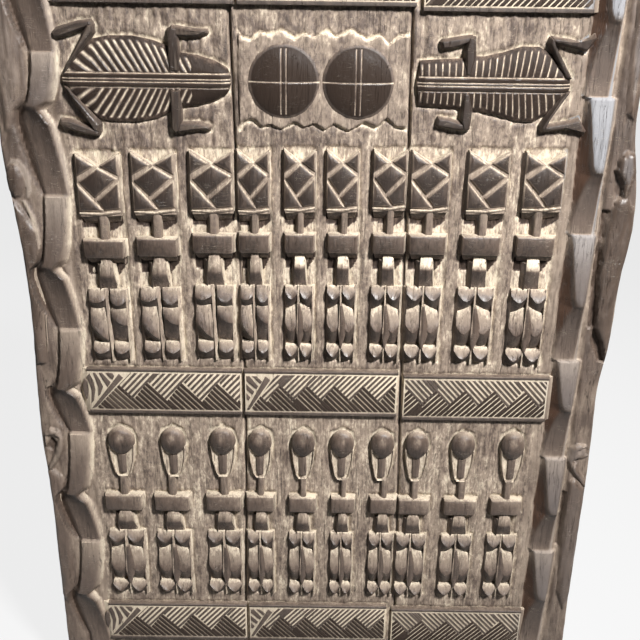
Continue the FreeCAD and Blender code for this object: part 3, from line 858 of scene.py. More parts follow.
RAISED = (
    # outline, rise, width of the rounded side, tone; the pale tones of the left creature's strip and rim
    # are painted light on its right side
    (SKIRT, 4.5, 2.5, 0.1),
    (CREATURE_RIGHT, 8.5, 11, -0.1), (KNOB_RIGHT, 9.0, 9, 0.1), (BEAK_RIGHT, 7.0, 8, 0.15),
    (LOWER_BODY_RIGHT, 7.0, 10, 0.1), (UPPER_BODY_RIGHT, 6.0, 10, 0.1),
    (CREATURE_LEFT, 7.5, 10, 0.0), (STRIP_LEFT, 2.5, 3, 0.9), (RIM_LEFT, 2.0, 7, 0.6),
    (KNOB_LEFT, 7.5, 16, -0.3), (BEAK_LEFT, 7.0, 6, 0.5),
    (LOWER_BODY_LEFT, 6.5, 10, 0.1), (UPPER_BODY_LEFT, 4.5, 12, 0.15),
)
BORDER_GROOVES = (
    # outline, reach, depth, tone; the dark tones are painted shade in the grooves
    ([(392, 166), (398, 166), (396, 140), (394, 100), (394, 60), (397, 20), (400, -10), (411, -32),
      (417, -52), (420, -62), (413, -60), (407, -48), (399, -30), (393, -10), (391, 20), (390, 60),
      (389, 100)], 2.5, 7.0, -1.0),
    ([(398, 223), (402, 216), (411, 196), (411, 188), (406, 187), (401, 200), (397, 212)],
     2.0, 3.6, -0.9),
    ([(400, -212), (412, -207), (417, -214), (408, -224), (402, -232), (397, -240), (393, -232)],
     2.0, 4.0, -1.0),
    ([(-418, -200), (-408, -197), (-401, -203), (-403, -215), (-412, -226), (-419, -222)],
     2.0, 4.0, -1.0),
    ([(386, -290), (391, -290), (391, -390), (387, -390)], 2.0, 4.0, -0.8),
)


def swollen(corners, x, z, width):
    """How far a rounded shape has risen at each place, from 0 at its outline to 1."""
    nearest, inside = from_outline(corners, x, z)
    share = np.clip(np.where(inside, nearest, 0.0) / width, 0, 1)
    return np.sqrt(np.clip(1 - (1 - share)**2, 0, 1))


# The ground of the boards

NOISE_KNOTS = 257


def soft_noise(x, z, size_x, size_z, seed):
    """A smooth random surface between -1 and 1, with lumps of the given size in mm."""
    lattice = np.random.RandomState(seed).uniform(-1, 1, (NOISE_KNOTS, NOISE_KNOTS))
    u = x / size_x + 40.5
    v = z / size_z + 90.5
    i = np.floor(u).astype(int)
    j = np.floor(v).astype(int)
    s = u - i
    t = v - j
    s = s * s * (3 - 2 * s)
    t = t * t * (3 - 2 * t)
    i0, i1, j0, j1 = (place % NOISE_KNOTS for place in (i, i + 1, j, j + 1))
    low = lattice[i0, j0] * (1 - s) + lattice[i1, j0] * s
    high = lattice[i0, j1] * (1 - s) + lattice[i1, j1] * s
    return low * (1 - t) + high * t


def from_outline(corners, x, z):
    """How far points lie from an outline, in mm, and which of them lie inside it."""
    nearest = np.full(x.shape, 1e9)
    inside = np.zeros(x.shape, bool)
    for (ax, az), (bx, bz) in zip(corners, corners[1:] + corners[:1]):
        dx, dz = bx - ax, bz - az
        share = np.clip(((x - ax) * dx + (z - az) * dz) / (dx * dx + dz * dz), 0, 1)
        nearest = np.minimum(nearest, np.hypot(x - ax - dx * share, z - az - dz * share))
        crosses = (az > z) != (bz > z)
        if az != bz:
            inside ^= crosses & (x < ax + (z - az) * dx / dz)
    return nearest, inside


def gentle(share):
    share = np.clip(share, 0, 1)
    return share * share * (3 - 2 * share)


def sheet_solid(name, across_count, up_count, surface, depth):
    """A closed board whose front follows surface(s, t) -> x, y, z and whose back lies depth behind."""
    free_selection()
    bpy.ops.mesh.primitive_grid_add(x_subdivisions=across_count, y_subdivisions=up_count, size=1)
    piece = named(bpy.context.object, name)
    flat = np.empty(len(piece.data.vertices) * 3)
    piece.data.vertices.foreach_get("co", flat)
    flat = flat.reshape(-1, 3)
    x, y, z = surface(flat[:, 0] + 0.5, flat[:, 1] + 0.5)
    piece.data.vertices.foreach_set("co", np.column_stack([x, y, z]).ravel())
    bpy.ops.object.mode_set(mode="EDIT")
    bpy.ops.mesh.select_mode(type="VERT")
    bpy.ops.mesh.select_all(action="DESELECT")
    bpy.ops.mesh.select_non_manifold()
    bpy.ops.mesh.extrude_region_move(TRANSFORM_OT_translate={"value": (0, depth, 0)})
    bpy.ops.mesh.edge_face_add()
    bpy.ops.mesh.select_all(action="SELECT")
    bpy.ops.mesh.normals_make_consistent(inside=False)
    bpy.ops.object.mode_set(mode="OBJECT")
    return piece


GROUND_CELL = 2.0 * MM
GROUND_SKIN = 10 * MM
CORE_BEHIND_FACE = 10.3 * MM
BORDER_START = 386.0
BORDER_RISE = 5.0
ARRIS = 3.0
# A cut darker than this is a hollow painted dark as shadow: it keeps its outline and shows over other
# cuts
PAINTED_SHADOW_TONE = -1


def near_box(corners, margin, across, up):
    xs = [corner[0] for corner in corners]
    zs = [corner[1] for corner in corners]
    return ((across > min(xs) - margin) & (across < max(xs) + margin)
            & (up > min(zs) - margin) & (up < max(zs) + margin))


def ground_shape(plank, x, z):
    """Height of the ground in mm proud of the boards' face, and its tone."""
    across = (x - MIDDLE) / MM
    up = (z - SIGHT) / MM
    rough = 0.6 * soft_noise(across, up, 26, 70, 1) + 0.7 * soft_noise(across, up, 5.5, 40, 2)
    rough += 0.5 * soft_noise(across, up, 4.2, 15, 3)
    dig = np.zeros_like(rough)
    tone = -0.3 + 0.3 * soft_noise(across, up, 30, 50, 4) + 0.25 * soft_noise(across, up, 5, 45, 6)
    # A little darker above the upper row, a little paler below the braided band
    tone = tone - 0.14 * gentle((up - 235) / 20) + 0.1 * gentle((-165 - up) / 10)
    pull = np.zeros_like(rough)
    target = np.zeros_like(rough)
    for cut in cuts:
        near = near_box(cut.corners, cut.reach, across, up)
        if not near.any():
            continue
        ragged = 1.0 * soft_noise(across[near], up[near], 4, 9, 5)
        ragged += 1.6 * soft_noise(across[near], up[near], 13, 26, 7)
        nearest, inside = from_outline(cut.corners, across[near], up[near])
        # Hollows painted as shadow keep a tight outline and their tone wins over other cuts
        is_painted_shadow = cut.tone < PAINTED_SHADOW_TONE
        distance = np.where(inside, 0.0, nearest) + ragged * (0.25 if is_painted_shadow else 1.0)
        weight = gentle(1 - distance / cut.reach)
        dig[near] = np.maximum(dig[near], cut.depth * weight)
        stronger = (weight > pull[near]) | (is_painted_shadow & (weight > 0.35))
        target[near] = np.where(stronger, cut.tone, target[near])
        pull[near] = np.maximum(pull[near], weight)
    tone = tone * (1 - 0.6 * pull) + target * pull
    border = gentle((np.abs(across) - BORDER_START) / 8)
    proud = rough + BORDER_RISE * border - dig
    tone = tone - 0.1 * border
    for corners, rise, width, creature_tone in RAISED:
        near = near_box(corners, 1, across, up)
        if near.any():
            share = swollen(corners, across[near], up[near], width)
            proud[near] += rise * share
            tone[near] = tone[near] * (1 - share) + creature_tone * share
    if plank != 1:
        proud, tone, on_snake = with_snake(plank - 1, across, up, proud, tone)
        proud = proud + rough * (0.6 - 0.35 * on_snake)
    left, right = plank_sides(plank, z)
    from_sides = np.minimum(x - left, right - x) / MM
    from_ends = np.minimum(z - FOOT, HEAD - z) / MM
    arris = np.clip(1 - np.minimum(from_sides, from_ends) / ARRIS, 0, 1)
    proud = proud - 2.6 * arris**2
    return proud, tone + 0.25 * arris


def ground_sheet(plank):
    """The carved face of one plank's ground."""
    tones = []

    def surface(s, t):
        z = FOOT + 0.3 * MM + (HEIGHT - 0.6 * MM) * t
        left, right = plank_sides(plank, z)
        x = left + (right - left) * s
        proud, tone = ground_shape(plank, x, z)
        tones.append(tone)
        return x, GROUND - proud * MM, z

    left, right = plank_sides(plank, np.array([SIGHT]))
    across_count = int((right - left)[0] / GROUND_CELL)
    up_count = int(HEIGHT / GROUND_CELL)
    piece = sheet_solid(PLANKS[plank] + "_ground", across_count, up_count, surface, GROUND_SKIN)
    set_tones(piece, tones[0])
    smooth(piece, 50)
    return piece


def board_core(plank):
    """The board behind its carved ground, with its adzed back."""
    def surface(s, t):
        z = FOOT + 0.8 * MM + (HEIGHT - 1.6 * MM) * t
        left, right = plank_sides(plank, z)
        start = left + (0.5 if plank == 0 else -1.5) * MM
        stop = right - (0.5 if plank == 2 else -1.5) * MM
        x = stop - (stop - start) * s
        across, up = (x - MIDDLE) / MM, z / MM
        scallop = 0.9 * np.abs(soft_noise(across, up, 42, 60, 11))
        scallop = scallop + 0.4 * soft_noise(across, up, 9, 40, 12)
        side = np.minimum(s, 1 - s) * (right - left) / MM
        round_off = 3.0 * np.clip(1 - np.minimum(side, 8) / 8, 0, 1)**2
        return x, BACK - 0.2 * MM - (scallop + 0.4 + round_off) * MM, z

    reach = BACK - GROUND - CORE_BEHIND_FACE
    piece = sheet_solid(PLANKS[plank] + "_board", 44, 150, surface, -reach)
    smooth(piece, 40)
    return piece


def pivot(low, high):
    """A round pivot cut from the end of the plank, with a rounded tip."""
    free_selection()
    bpy.ops.mesh.primitive_cylinder_add(vertices=40, radius=PIVOT_RADIUS, depth=high - low,
                                        location=(0, 0, (low + high) / 2))
    piece = bpy.context.object
    bpy.ops.object.transform_apply(location=True, rotation=False, scale=False)
    modifier(piece, "BEVEL", width=3 * MM, segments=3, limit_method="ANGLE", angle_limit=math.radians(60))
    smooth(piece, 35)
    return piece


# The back: battens, nails and staples

NAIL_SHARES = (0.24, 0.76)
NAIL_STAGGER = 0.2
BATTEN_HEIGHT = 62 * MM
STAPLE_LEG = 26.7
STAPLE_SHARES = (0.04, 0.315, 0.685, 0.96)


def batten(name, seed):
    """A batten, hewn flat on its back and rounded by use along its edges."""
    low, high = (np.array(corner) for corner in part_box(name))

    def surface(s, t):
        x = high[0] - 0.5 * MM - (high[0] - low[0] - 1 * MM) * s
        z = low[2] + 0.8 * MM + (high[2] - low[2] - 1.6 * MM) * t
        z = z + 0.6 * MM * soft_noise(x / MM, z / MM, 70, 400, seed) * (2 * t - 1)
        scallop = 0.7 * np.abs(soft_noise(x / MM, z / MM, 36, 30, seed + 1))
        side = np.minimum(t, 1 - t) * (high[2] - low[2]) / MM
        ends = np.minimum(s, 1 - s) * (high[0] - low[0]) / MM
        round_off = 3.2 * np.clip(1 - np.minimum(side, ends) / 9, 0, 1)**2
        return x, high[1] - (0.3 + scallop + round_off) * MM, z

    piece = sheet_solid(name + "_hewn", 150, 14, surface, -(high[1] - low[1] - 4.0 * MM))
    smooth(piece, 40)
    return piece


def batten_nails(place):
    """The forged nails of one batten, with dented heads."""
    low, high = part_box("batten_" + place)
    seams = [MIDDLE + WIDTH * (line[0] - 0.5) for line in EDGE_LINES[1:3]]
    ends = [low[0], *seams, high[0]]
    pieces = []
    for start, end in zip(ends, ends[1:]):
        for share, way in zip(NAIL_SHARES, (1, -1)):
            x = start + (end - start) * share
            z = (low[2] + high[2]) / 2 + way * BATTEN_HEIGHT * NAIL_STAGGER
            rim = []
            for step in range(9):
                angle = math.radians(40 * step)
                radius = 8.4 * chance.uniform(0.9, 1.03)
                rim.append((radius * math.cos(angle), radius * math.sin(angle)))
            nail_head = slab(rim, [(0, 1.0), (2.2, 1.4), (3.0, 0.8)], root=1.0)
            shank = slab(rectangle(-2.4, 2.4, -2.4, 2.4), [(0, 0.5)], root=51)
            nail = joined([nail_head, shank], "nail")
            spin = Matrix.Rotation(math.pi, 4, "Z")
            nail.data.transform(Matrix.Translation((x, high[1] - 0.4 * MM, z)) @ spin)
            pieces.append(nail)
    return pieces


def seam_staples(seam):
    """Forged staples across one seam, on the back."""
    pieces = []
    for share in STAPLE_SHARES:
        z = FOOT + HEIGHT * share
        x = float(edge_line(seam + 1, np.array([z]))[0])
        crown = slab([(-28.5, -2.6), (0, -2.9), (28.5, -2.6), (28.7, 2.6), (0, 2.9), (-28.7, 2.6)],
                     [(0, 2.6), (0.9, 1.0)], root=0.6)
        leg_pieces = [slab(rectangle(leg - 2.1, leg + 2.1, -2.8, 2.8), [(0, 2.0)], root=19.5)
                      for leg in (-STAPLE_LEG, STAPLE_LEG)]
        staple = joined([crown, *leg_pieces], "staple")
        spin = Matrix.Rotation(math.pi, 4, "Z")
        staple.data.transform(Matrix.Translation((x, BACK, z)) @ spin)
        pieces.append(staple)
    return pieces


# Materials

CREAM = (0.48, 0.405, 0.305, 1)
TAN = (0.225, 0.173, 0.130, 1)
UMBER = (0.088, 0.062, 0.047, 1)
# The next grey is a painted reflection and the russet after it painted shade
PAINTED_REFLECTION_GREY = (0.21, 0.21, 0.218, 1)
RUSSET = (0.05, 0.023, 0.012, 1)
DEEP = (0.025, 0.017, 0.013, 1)
IRON_DARK = (0.035, 0.03, 0.028, 1)
IRON_RUST = (0.16, 0.075, 0.035, 1)


class Bench:
    """Adds and joins nodes in one tree."""

    def __init__(self, tree):
        self.tree = tree

    def add(self, kind, **settings):
        node = self.tree.nodes.new(kind)
        for key, value in settings.items():
            setattr(node, key, value)
        return node

    def link(self, source, target):
        self.tree.links.new(source, target)

    def feed(self, socket, value):
        """Gives a socket a number, a colour or another socket."""
        if isinstance(value, bpy.types.NodeSocket):
            self.link(value, socket)
        elif value is not None:
            socket.default_value = value

    def math(self, operation, a, b=None, c=None, clamp=False):
        node = self.add("ShaderNodeMath", operation=operation, use_clamp=clamp)
        for socket, value in zip(node.inputs, (a, b, c)):
            self.feed(socket, value)
        return node.outputs[0]

    def plus(self, first, second):
        return self.math("ADD", first, second)

    def minus(self, first, second):
        return self.math("SUBTRACT", first, second)

    def times(self, first, second):
        return self.math("MULTIPLY", first, second)

    def spread(self, value, low, high, to_low=0.0, to_high=1.0, smooth_ends=True):
        """Maps a value from low..high to to_low..to_high, held at both ends."""
        kind = "SMOOTHSTEP" if smooth_ends else "LINEAR"
        node = self.add("ShaderNodeMapRange", interpolation_type=kind, clamp=True)
        for socket, number in zip(node.inputs, (value, low, high, to_low, to_high)):
            self.feed(socket, number)
        return node.outputs[0]

    def mix(self, share, first, second, blend_type="MIX"):
        node = self.add("ShaderNodeMix", data_type="RGBA", blend_type=blend_type)
        self.feed(node.inputs[0], share)
        self.feed(node.inputs[6], first)
        self.feed(node.inputs[7], second)
        return node.outputs[2]

    def noise(self, place, size, stretch=(1, 1, 1), detail=3.0, roughness=0.5, distortion=0.0):
        """Noise with lumps of the given size in mm, drawn out along each axis by stretch."""
        mapping = self.add("ShaderNodeMapping")
        self.link(place, mapping.inputs["Vector"])
        mapping.inputs["Scale"].default_value = [1 / (size * MM * pull) for pull in stretch]
        node = self.add("ShaderNodeTexNoise")
        self.link(mapping.outputs[0], node.inputs["Vector"])
        node.inputs["Scale"].default_value = 1.0
        node.inputs["Detail"].default_value = detail
        node.inputs["Roughness"].default_value = roughness
        node.inputs["Distortion"].default_value = distortion
        return node.outputs["Fac"]


def new_group(name, inputs, outputs):
    """An empty node group with its sockets; gives the group, its bench, its input and output nodes."""
    group = bpy.data.node_groups.new(name, "ShaderNodeTree")
    for socket_name, kind, default in inputs:
        socket = group.interface.new_socket(socket_name, in_out="INPUT", socket_type=kind)
        if default is not None:
            socket.default_value = default
    for socket_name, kind in outputs:
        group.interface.new_socket(socket_name, in_out="OUTPUT", socket_type=kind)
    bench = Bench(group)
    return group, bench, bench.add("NodeGroupInput"), bench.add("NodeGroupOutput")


def grain_group():
    """Streaks, pores and fine cracks that run up the plank."""
    group, b, given, result = new_group(
        "wood_grain", [("Place", "NodeSocketVector", None)],
        [("Streaks", "NodeSocketFloat"), ("Pores", "NodeSocketFloat"), ("Cracks", "NodeSocketFloat")])
    place = given.outputs["Place"]
    streaks = b.noise(place, 2.2, (1, 1, 16), detail=4.0, roughness=0.6, distortion=0.3)
    pores = b.noise(place, 0.8, (1, 1, 9), detail=2.0, roughness=0.6)
    lines = b.noise(place, 5.0, (1, 3, 26), detail=3.0, roughness=0.55, distortion=0.5)
    thin = b.math("ABSOLUTE", b.minus(lines, 0.5))
    patches = b.spread(b.noise(place, 40, (1, 1, 2.5), detail=2.0), 0.38, 0.55)
    cracks = b.times(b.spread(thin, 0.0, 0.012, 1.0, 0.0), patches)
    b.link(streaks, result.inputs["Streaks"])
    b.link(pores, result.inputs["Pores"])
    b.link(cracks, result.inputs["Cracks"])
    return group


def handling_group():
    """Scratches, dents and worn edges from use."""
    group, b, given, result = new_group(
        "handling", [("Place", "NodeSocketVector", None)],
        [("Scratches", "NodeSocketFloat"), ("Worn", "NodeSocketFloat"), ("Mottle", "NodeSocketFloat"),
         ("Chips", "NodeSocketFloat")])
    place = given.outputs["Place"]
    slant = b.noise(place, 3.0, (9, 1, 1.2), detail=2.0, distortion=0.4)
    scratches = b.spread(b.math("ABSOLUTE", b.minus(slant, 0.5)), 0.0, 0.01, 1.0, 0.0)
    scratches = b.times(scratches, b.spread(b.noise(place, 22), 0.5, 0.6))
    geometry = b.add("ShaderNodeNewGeometry")
    worn = b.spread(geometry.outputs["Pointiness"], 0.52, 0.60)
    mottle = b.noise(place, 13, (1, 1, 1.6), detail=5.0, roughness=0.62)
    b.link(scratches, result.inputs["Scratches"])
    b.link(worn, result.inputs["Worn"])
    b.link(mottle, result.inputs["Mottle"])
    chips = b.noise(place, 3.4, (1, 1, 2.2), detail=3.0, roughness=0.6, distortion=0.6)
    b.link(chips, result.inputs["Chips"])
    return group


GRAIN = grain_group()
HANDLING = handling_group()


def new_material(name):
    """A material with its bench, shader and the place on the object."""
    material = bpy.data.materials.new(name)
    material.use_nodes = True
    material.node_tree.nodes.clear()
    b = Bench(material.node_tree)
    shader = b.add("ShaderNodeBsdfPrincipled")
    output = b.add("ShaderNodeOutputMaterial")
    b.link(shader.outputs[0], output.inputs["Surface"])
    place = b.add("ShaderNodeTexCoord").outputs["Object"]
    return material, b, shader, place


def placed(b, group, place):
    node = b.add("ShaderNodeGroup", node_tree=group)
    b.link(place, node.inputs["Place"])
    return node.outputs


def add_bump(b, shader, height, distance, strength=1.0):
    bump = b.add("ShaderNodeBump")
    bump.inputs["Strength"].default_value = strength
    bump.inputs["Distance"].default_value = distance * MM
    b.link(height, bump.inputs["Height"])
    b.link(bump.outputs[0], shader.inputs["Normal"])


def carved_wood():
    """Old oiled wood: cream in its cuts, tan on the ground, dark and polished where it stands proud."""
    material, b, shader, place = new_material("carved_wood")
    grain = placed(b, GRAIN, place)
    use = placed(b, HANDLING, place)
    axes = b.add("ShaderNodeSeparateXYZ")
    b.link(place, axes.inputs[0])
    proud = b.math("DIVIDE", b.minus(GROUND, axes.outputs["Y"]), MM)
    tone = b.add("ShaderNodeAttribute", attribute_name="tone").outputs["Fac"]

    # Darker the more it stands proud and the lower its tone; raw wood is mottled and streaky too
    dark = b.math("MULTIPLY_ADD", proud, 0.062, 0.03)
    dark = b.minus(dark, b.times(tone, 0.72))
    raw = b.math("MAXIMUM", b.spread(proud, 2.0, 8.0, 1.0, 0.42), b.spread(tone, 0.3, 0.7, 0.0, 0.8))
    # Outside the field, on the snakes and the borders, hands have worn the wood smooth
    away = b.math("ABSOLUTE", b.minus(axes.outputs["X"], MIDDLE))
    right_half = b.math("GREATER_THAN", axes.outputs["X"], MIDDLE)
    worn_smooth = b.spread(b.math("MULTIPLY_ADD", right_half, 17 * MM, away), 344 * MM, 352 * MM)
    raw = b.times(raw, b.spread(worn_smooth, 0.0, 1.0, 1.0, 0.4))
    higher = b.minus(axes.outputs["Z"], SIGHT)
    mottled = b.minus(use["Mottle"], 0.5)
    uneven = b.times(mottled, b.spread(higher, 0.2, 0.27, 1.6, 2.6))
    streaky = b.minus(grain["Streaks"], 0.5)
    uneven = b.plus(uneven, b.times(streaky, b.spread(higher, 0.2, 0.27, 1.25, 0.5)))
    uneven = b.plus(uneven, b.times(b.minus(use["Chips"], 0.5), 1.9))
    dark = b.plus(dark, b.times(uneven, raw))
    # Paler where it faces up: dust, and painted light on the upward ledges
    upward = b.add("ShaderNodeSeparateXYZ")
    b.link(b.add("ShaderNodeNewGeometry").outputs["Normal"], upward.inputs[0])
    dust_and_painted_light = b.spread(upward.outputs["Z"], 0.3, 0.95, 0.0, 0.32)
    dark = b.minus(dark, dust_and_painted_light)

    ramp = b.add("ShaderNodeValToRGB")
    b.link(b.spread(dark, -0.6, 1.4, 0.0, 1.0, smooth_ends=False), ramp.inputs[0])
    stops = ramp.color_ramp.elements
    stops[0].position = 0.0
    stops[0].color = CREAM
    stops[1].position = 0.30
    stops[1].color = TAN
    for position, colour in ((0.62, UMBER), (0.95, DEEP)):
        stops.new(position).color = colour
    colour = ramp.outputs[0]
    # Painted reflection: grey on pale wood worn smooth, most on the upper right; painted shade: russet in
    # the right border's hollows
    paler = b.times(b.spread(tone, 0.0, 0.3), worn_smooth)
    across = b.minus(axes.outputs["X"], MIDDLE)
    paler = b.times(paler, b.spread(across, -0.3, 0.3, 0.12, 0.95))
    paler = b.times(paler, b.spread(higher, 0.05, 0.22, 0.2, 1.0))
    colour = b.mix(paler, colour, PAINTED_REFLECTION_GREY)
    # Painted shade: russet where the right border's hollows lie in shadow
    redder = b.times(b.spread(tone, -0.95, -0.7, 1.0, 0.0), b.spread(across, 0.342, 0.348))
    redder = b.times(redder, b.spread(across, 0.368, 0.376, 1.0, 0.0))
    colour = b.mix(b.times(redder, 0.85), colour, RUSSET)
    colour = b.mix(b.times(grain["Cracks"], 0.75), colour, DEEP)
    scratched = b.times(use["Scratches"], b.spread(tone, -1.3, -0.9, 0.1, 0.35))
    colour = b.mix(scratched, colour, CREAM)
    colour = b.mix(b.times(use["Worn"], 0.15), colour, TAN)
    pores = b.spread(grain["Pores"], 0.60, 0.75, 0.0, 0.35)
    colour = b.mix(pores, colour, DEEP)
    b.link(colour, shader.inputs["Base Color"])

    rough = b.math("MAXIMUM", b.spread(dark, 0.1, 0.75, 0.8, 0.36), b.spread(proud, 8.0, 12.0, 0.6, 0.36))
    rough = b.math("ADD", rough, b.times(streaky, 0.35), clamp=True)
    rough = b.times(rough, b.spread(worn_smooth, 0.0, 1.0, 1.0, 0.95))
    b.link(rough, shader.inputs["Roughness"])
    mirror = b.spread(tone, -1.25, -0.85, 0.12, 0.5)
    mirror = b.times(mirror, b.spread(paler, 0.3, 0.9, 1.0, 0.4))
    b.link(mirror, shader.inputs["Specular IOR Level"])
    height = b.plus(b.times(grain["Streaks"], 0.6), b.times(use["Mottle"], 0.9))
    height = b.minus(height, b.times(grain["Cracks"], 0.9))
    height = b.minus(height, b.times(use["Scratches"], 0.25))
    height = b.plus(height, b.times(grain["Pores"], 0.25))
    height = b.plus(height, b.times(b.times(use["Chips"], raw), 0.9))
    add_bump(b, shader, height, 1.0, 0.8)
    return material


def board_wood(name, fresh):
    """Adzed wood of the backs and battens, dry and grey-brown, smoothed where hands pass."""
    material, b, shader, place = new_material(name)
    grain = placed(b, GRAIN, place)
    use = placed(b, HANDLING, place)
    tone = b.plus(b.times(grain["Streaks"], 0.6), b.times(use["Mottle"], 0.5))
    ramp = b.add("ShaderNodeValToRGB")
    b.link(b.spread(tone, 0.35, 0.78, 0.0, 1.0, smooth_ends=False), ramp.inputs[0])
    stops = ramp.color_ramp.elements
    stops[0].color = [channel * fresh for channel in DEEP[:3]] + [1]
    stops[1].color = [channel * fresh for channel in TAN[:3]] + [1]
    stops.new(0.45).color = [channel * fresh for channel in UMBER[:3]] + [1]
    colour = b.mix(b.times(grain["Cracks"], 0.8), ramp.outputs[0], DEEP)
    colour = b.mix(b.times(use["Worn"], 0.35), colour, TAN)
    b.link(colour, shader.inputs["Base Color"])
    b.link(b.spread(tone, 0.3, 0.8, 0.62, 0.82), shader.inputs["Roughness"])
    height = b.plus(b.times(grain["Streaks"], 0.8), b.times(use["Mottle"], 0.6))
    height = b.minus(height, grain["Cracks"])
    add_bump(b, shader, height, 0.9, 0.8)
    return material


def forged_iron():
    """Black hammered iron with rust in its hollows."""
    material, b, shader, place = new_material("forged_iron")
    use = placed(b, HANDLING, place)
    rust = b.spread(b.noise(place, 4.0, detail=5.0, roughness=0.65), 0.48, 0.66)
    colour = b.mix(rust, IRON_DARK, IRON_RUST)
    colour = b.mix(b.times(use["Worn"], 0.5), colour, (0.22, 0.20, 0.18, 1))
    b.link(colour, shader.inputs["Base Color"])
    b.link(b.spread(rust, 0.0, 1.0, 0.75, 0.1), shader.inputs["Metallic"])
    b.link(b.spread(rust, 0.0, 1.0, 0.48, 0.85), shader.inputs["Roughness"])
    dents = b.noise(place, 3.2, detail=3.0)
    add_bump(b, shader, dents, 0.8, 0.8)
    return material


CARVED = carved_wood()
BOARD = board_wood("adzed_board", 1.0)
HEWN = board_wood("hewn_batten", 1.15)
IRON = forged_iron()


# Putting the door together

PLANK_WORDS = ("left", "centre", "right")


def place_carving(pieces, word, plank, **cutting):
    """Joins carved pieces of one plank, sets them in and finishes them."""
    piece = joined(pieces, word + "_" + PLANK_WORDS[plank])
    set_in(piece)
    hand_cut(piece, **cutting)
    belongs(piece, PLANKS[plank], CARVED)
    return piece


def cut_round(corners, reach, depth, tone):
    cuts.append(Cut(counter_clockwise(list(corners)), reach, depth, tone))


BODY_SHARE = 0.94
# Hollows under the shoulders and under the heads, painted dark as shadow
SHOULDER_SHADOW_HOLLOW = ((-27, -27), (-27, -54), (-10, -56), (8, -56), (9, -59), (13, -57), (27, -38),
                   (27, -27))
HEAD_SHADOW_HOLLOW = ((-28, -2), (-28, -19), (-8, -21), (8, -25), (14, -24), (28, -14), (28, -2))
EGG_OUTLINE = ((-9, 2), (9, 2), (18, 34), (21.5, 63), (16.5, 82), (0, EGG_HEIGHT), (-16.5, 82),
               (-21.5, 63), (-18, 34))


def upright(across, half, low, high):
    """The outline of a head, body or waist that reaches half to either side."""
    return rectangle(across - half, across + half, low, high)


def cut_round_upper():
    """The ground is lowered round the upper row and hollowed out under heads and shoulders, where it is
    painted dark as shadow.
    """
    for head_across, body_across, width, feet, shoulder, chin, top in UPPER_FIGURES:
        half = width / 2
        share = width / BODY_WIDTH
        cut_round(upright(head_across, half, chin, top), 5.5, 3.2, 0.3)
        cut_round(upright(body_across, half * BODY_SHARE, feet + 2, chin + 4), 5.5, 3.2, 0.3)
        hip = feet + UPPER_HIP * (shoulder - feet) / TRUNK_HEIGHT
        cut_round(rectangle(body_across - 9, body_across + 7, hip, hip + 54), half - 9, 6.3, 0.2)
        # The hollows under the shoulders and the head carry painted shadow
        hollow = [(body_across + x * share, shoulder + z) for x, z in SHOULDER_SHADOW_HOLLOW]
        cut_round(hollow, 2.0, 5.2, -2.2)
        hollow = [(head_across + x * share, chin + z) for x, z in HEAD_SHADOW_HOLLOW]
        cut_round(hollow, 2.0, 4.6, -2.0)


def cut_round_lower():
    """Round the lower row the ground is cut closely along each part."""
    for head_across, body_across, width, feet, shoulder, chin, top in LOWER_FIGURES:
        half = width / 2
        swell = max(width / BODY_WIDTH, NARROWEST_EGG)
        egg = [(head_across + x * swell, chin + z * (top - chin) / EGG_HEIGHT) for x, z in EGG_OUTLINE]
        cut_round(egg, 5.5, 3.4, 0.55)
        hip = feet + LOWER_HIP * (shoulder - feet) / TRUNK_HEIGHT
        for low, high in ((shoulder - 28, shoulder), (feet + 2, hip)):
            cut_round(upright(body_across, half * BODY_SHARE, low, high), 4.5, 2.6, 0.3)
        cut_round(rectangle(body_across - 12, body_across + 10, hip, hip + 48), half - 13, 5.0, -0.1)


def carve_figures():
    """Both rows of ancestor figures."""
    long_neck = {"waist": 1.2, "neck_top": 240, "shoulder_tone": -0.2}
    round_trunk = trunk_template(UPPER_HIP, legs=round_legs, torso=round_torso, **long_neck)
    tulip_trunk = trunk_template(UPPER_HIP, legs=tulip_legs, torso=cupped_torso, **long_neck)
    short_trunk = trunk_template(LOWER_HIP, legs=tulip_legs, torso=round_torso,
                                 waist=1.4, neck_top=231, shoulder_tone=0.3)
    face_head = face_head_template()
    egg_head = egg_head_template()
    upper = place_figures(UPPER_FIGURES, face_head, HEAD_HEIGHT, 0.0, (round_trunk, tulip_trunk))
    lower = place_figures(LOWER_FIGURES, egg_head, EGG_HEIGHT, NARROWEST_EGG, (short_trunk, short_trunk))
    for plank in range(3):
        for word, groups in (("upper_figures", upper), ("lower_figures", lower)):
            place_carving(groups[plank], word, plank, waver=1.6)
    drop([round_trunk, tulip_trunk, short_trunk, face_head, egg_head])
    cut_round_upper()
    cut_round_lower()


def carve_braids():
    """Three braided bands on every plank."""
    for plank in range(3):
        band = braid_template(plank)
        ends = BRAID_GROUPS[plank][:2]
        for word, lift in BRAID_LIFTS.items():
            copy = copy_of(band, up=lift)
            place_carving([copy], "braid_" + word, plank, waver=0.6, edge=0.35, divide=0)
            low, high = (height + lift + BAND_DROPS[plank] for height in (BAND_LOW, BAND_HIGH))
            cut_round(rectangle(min(ends) - 3, max(ends) + 3, low, high), 4.0, 2.2, 0.5)
        drop([band])


def finish_sheet(piece, plank, name):
    """Sets a carved sheet in and finishes it."""
    set_in(named(piece, name))
    smooth(piece, 42)
    belongs(piece, PLANKS[plank], CARVED)


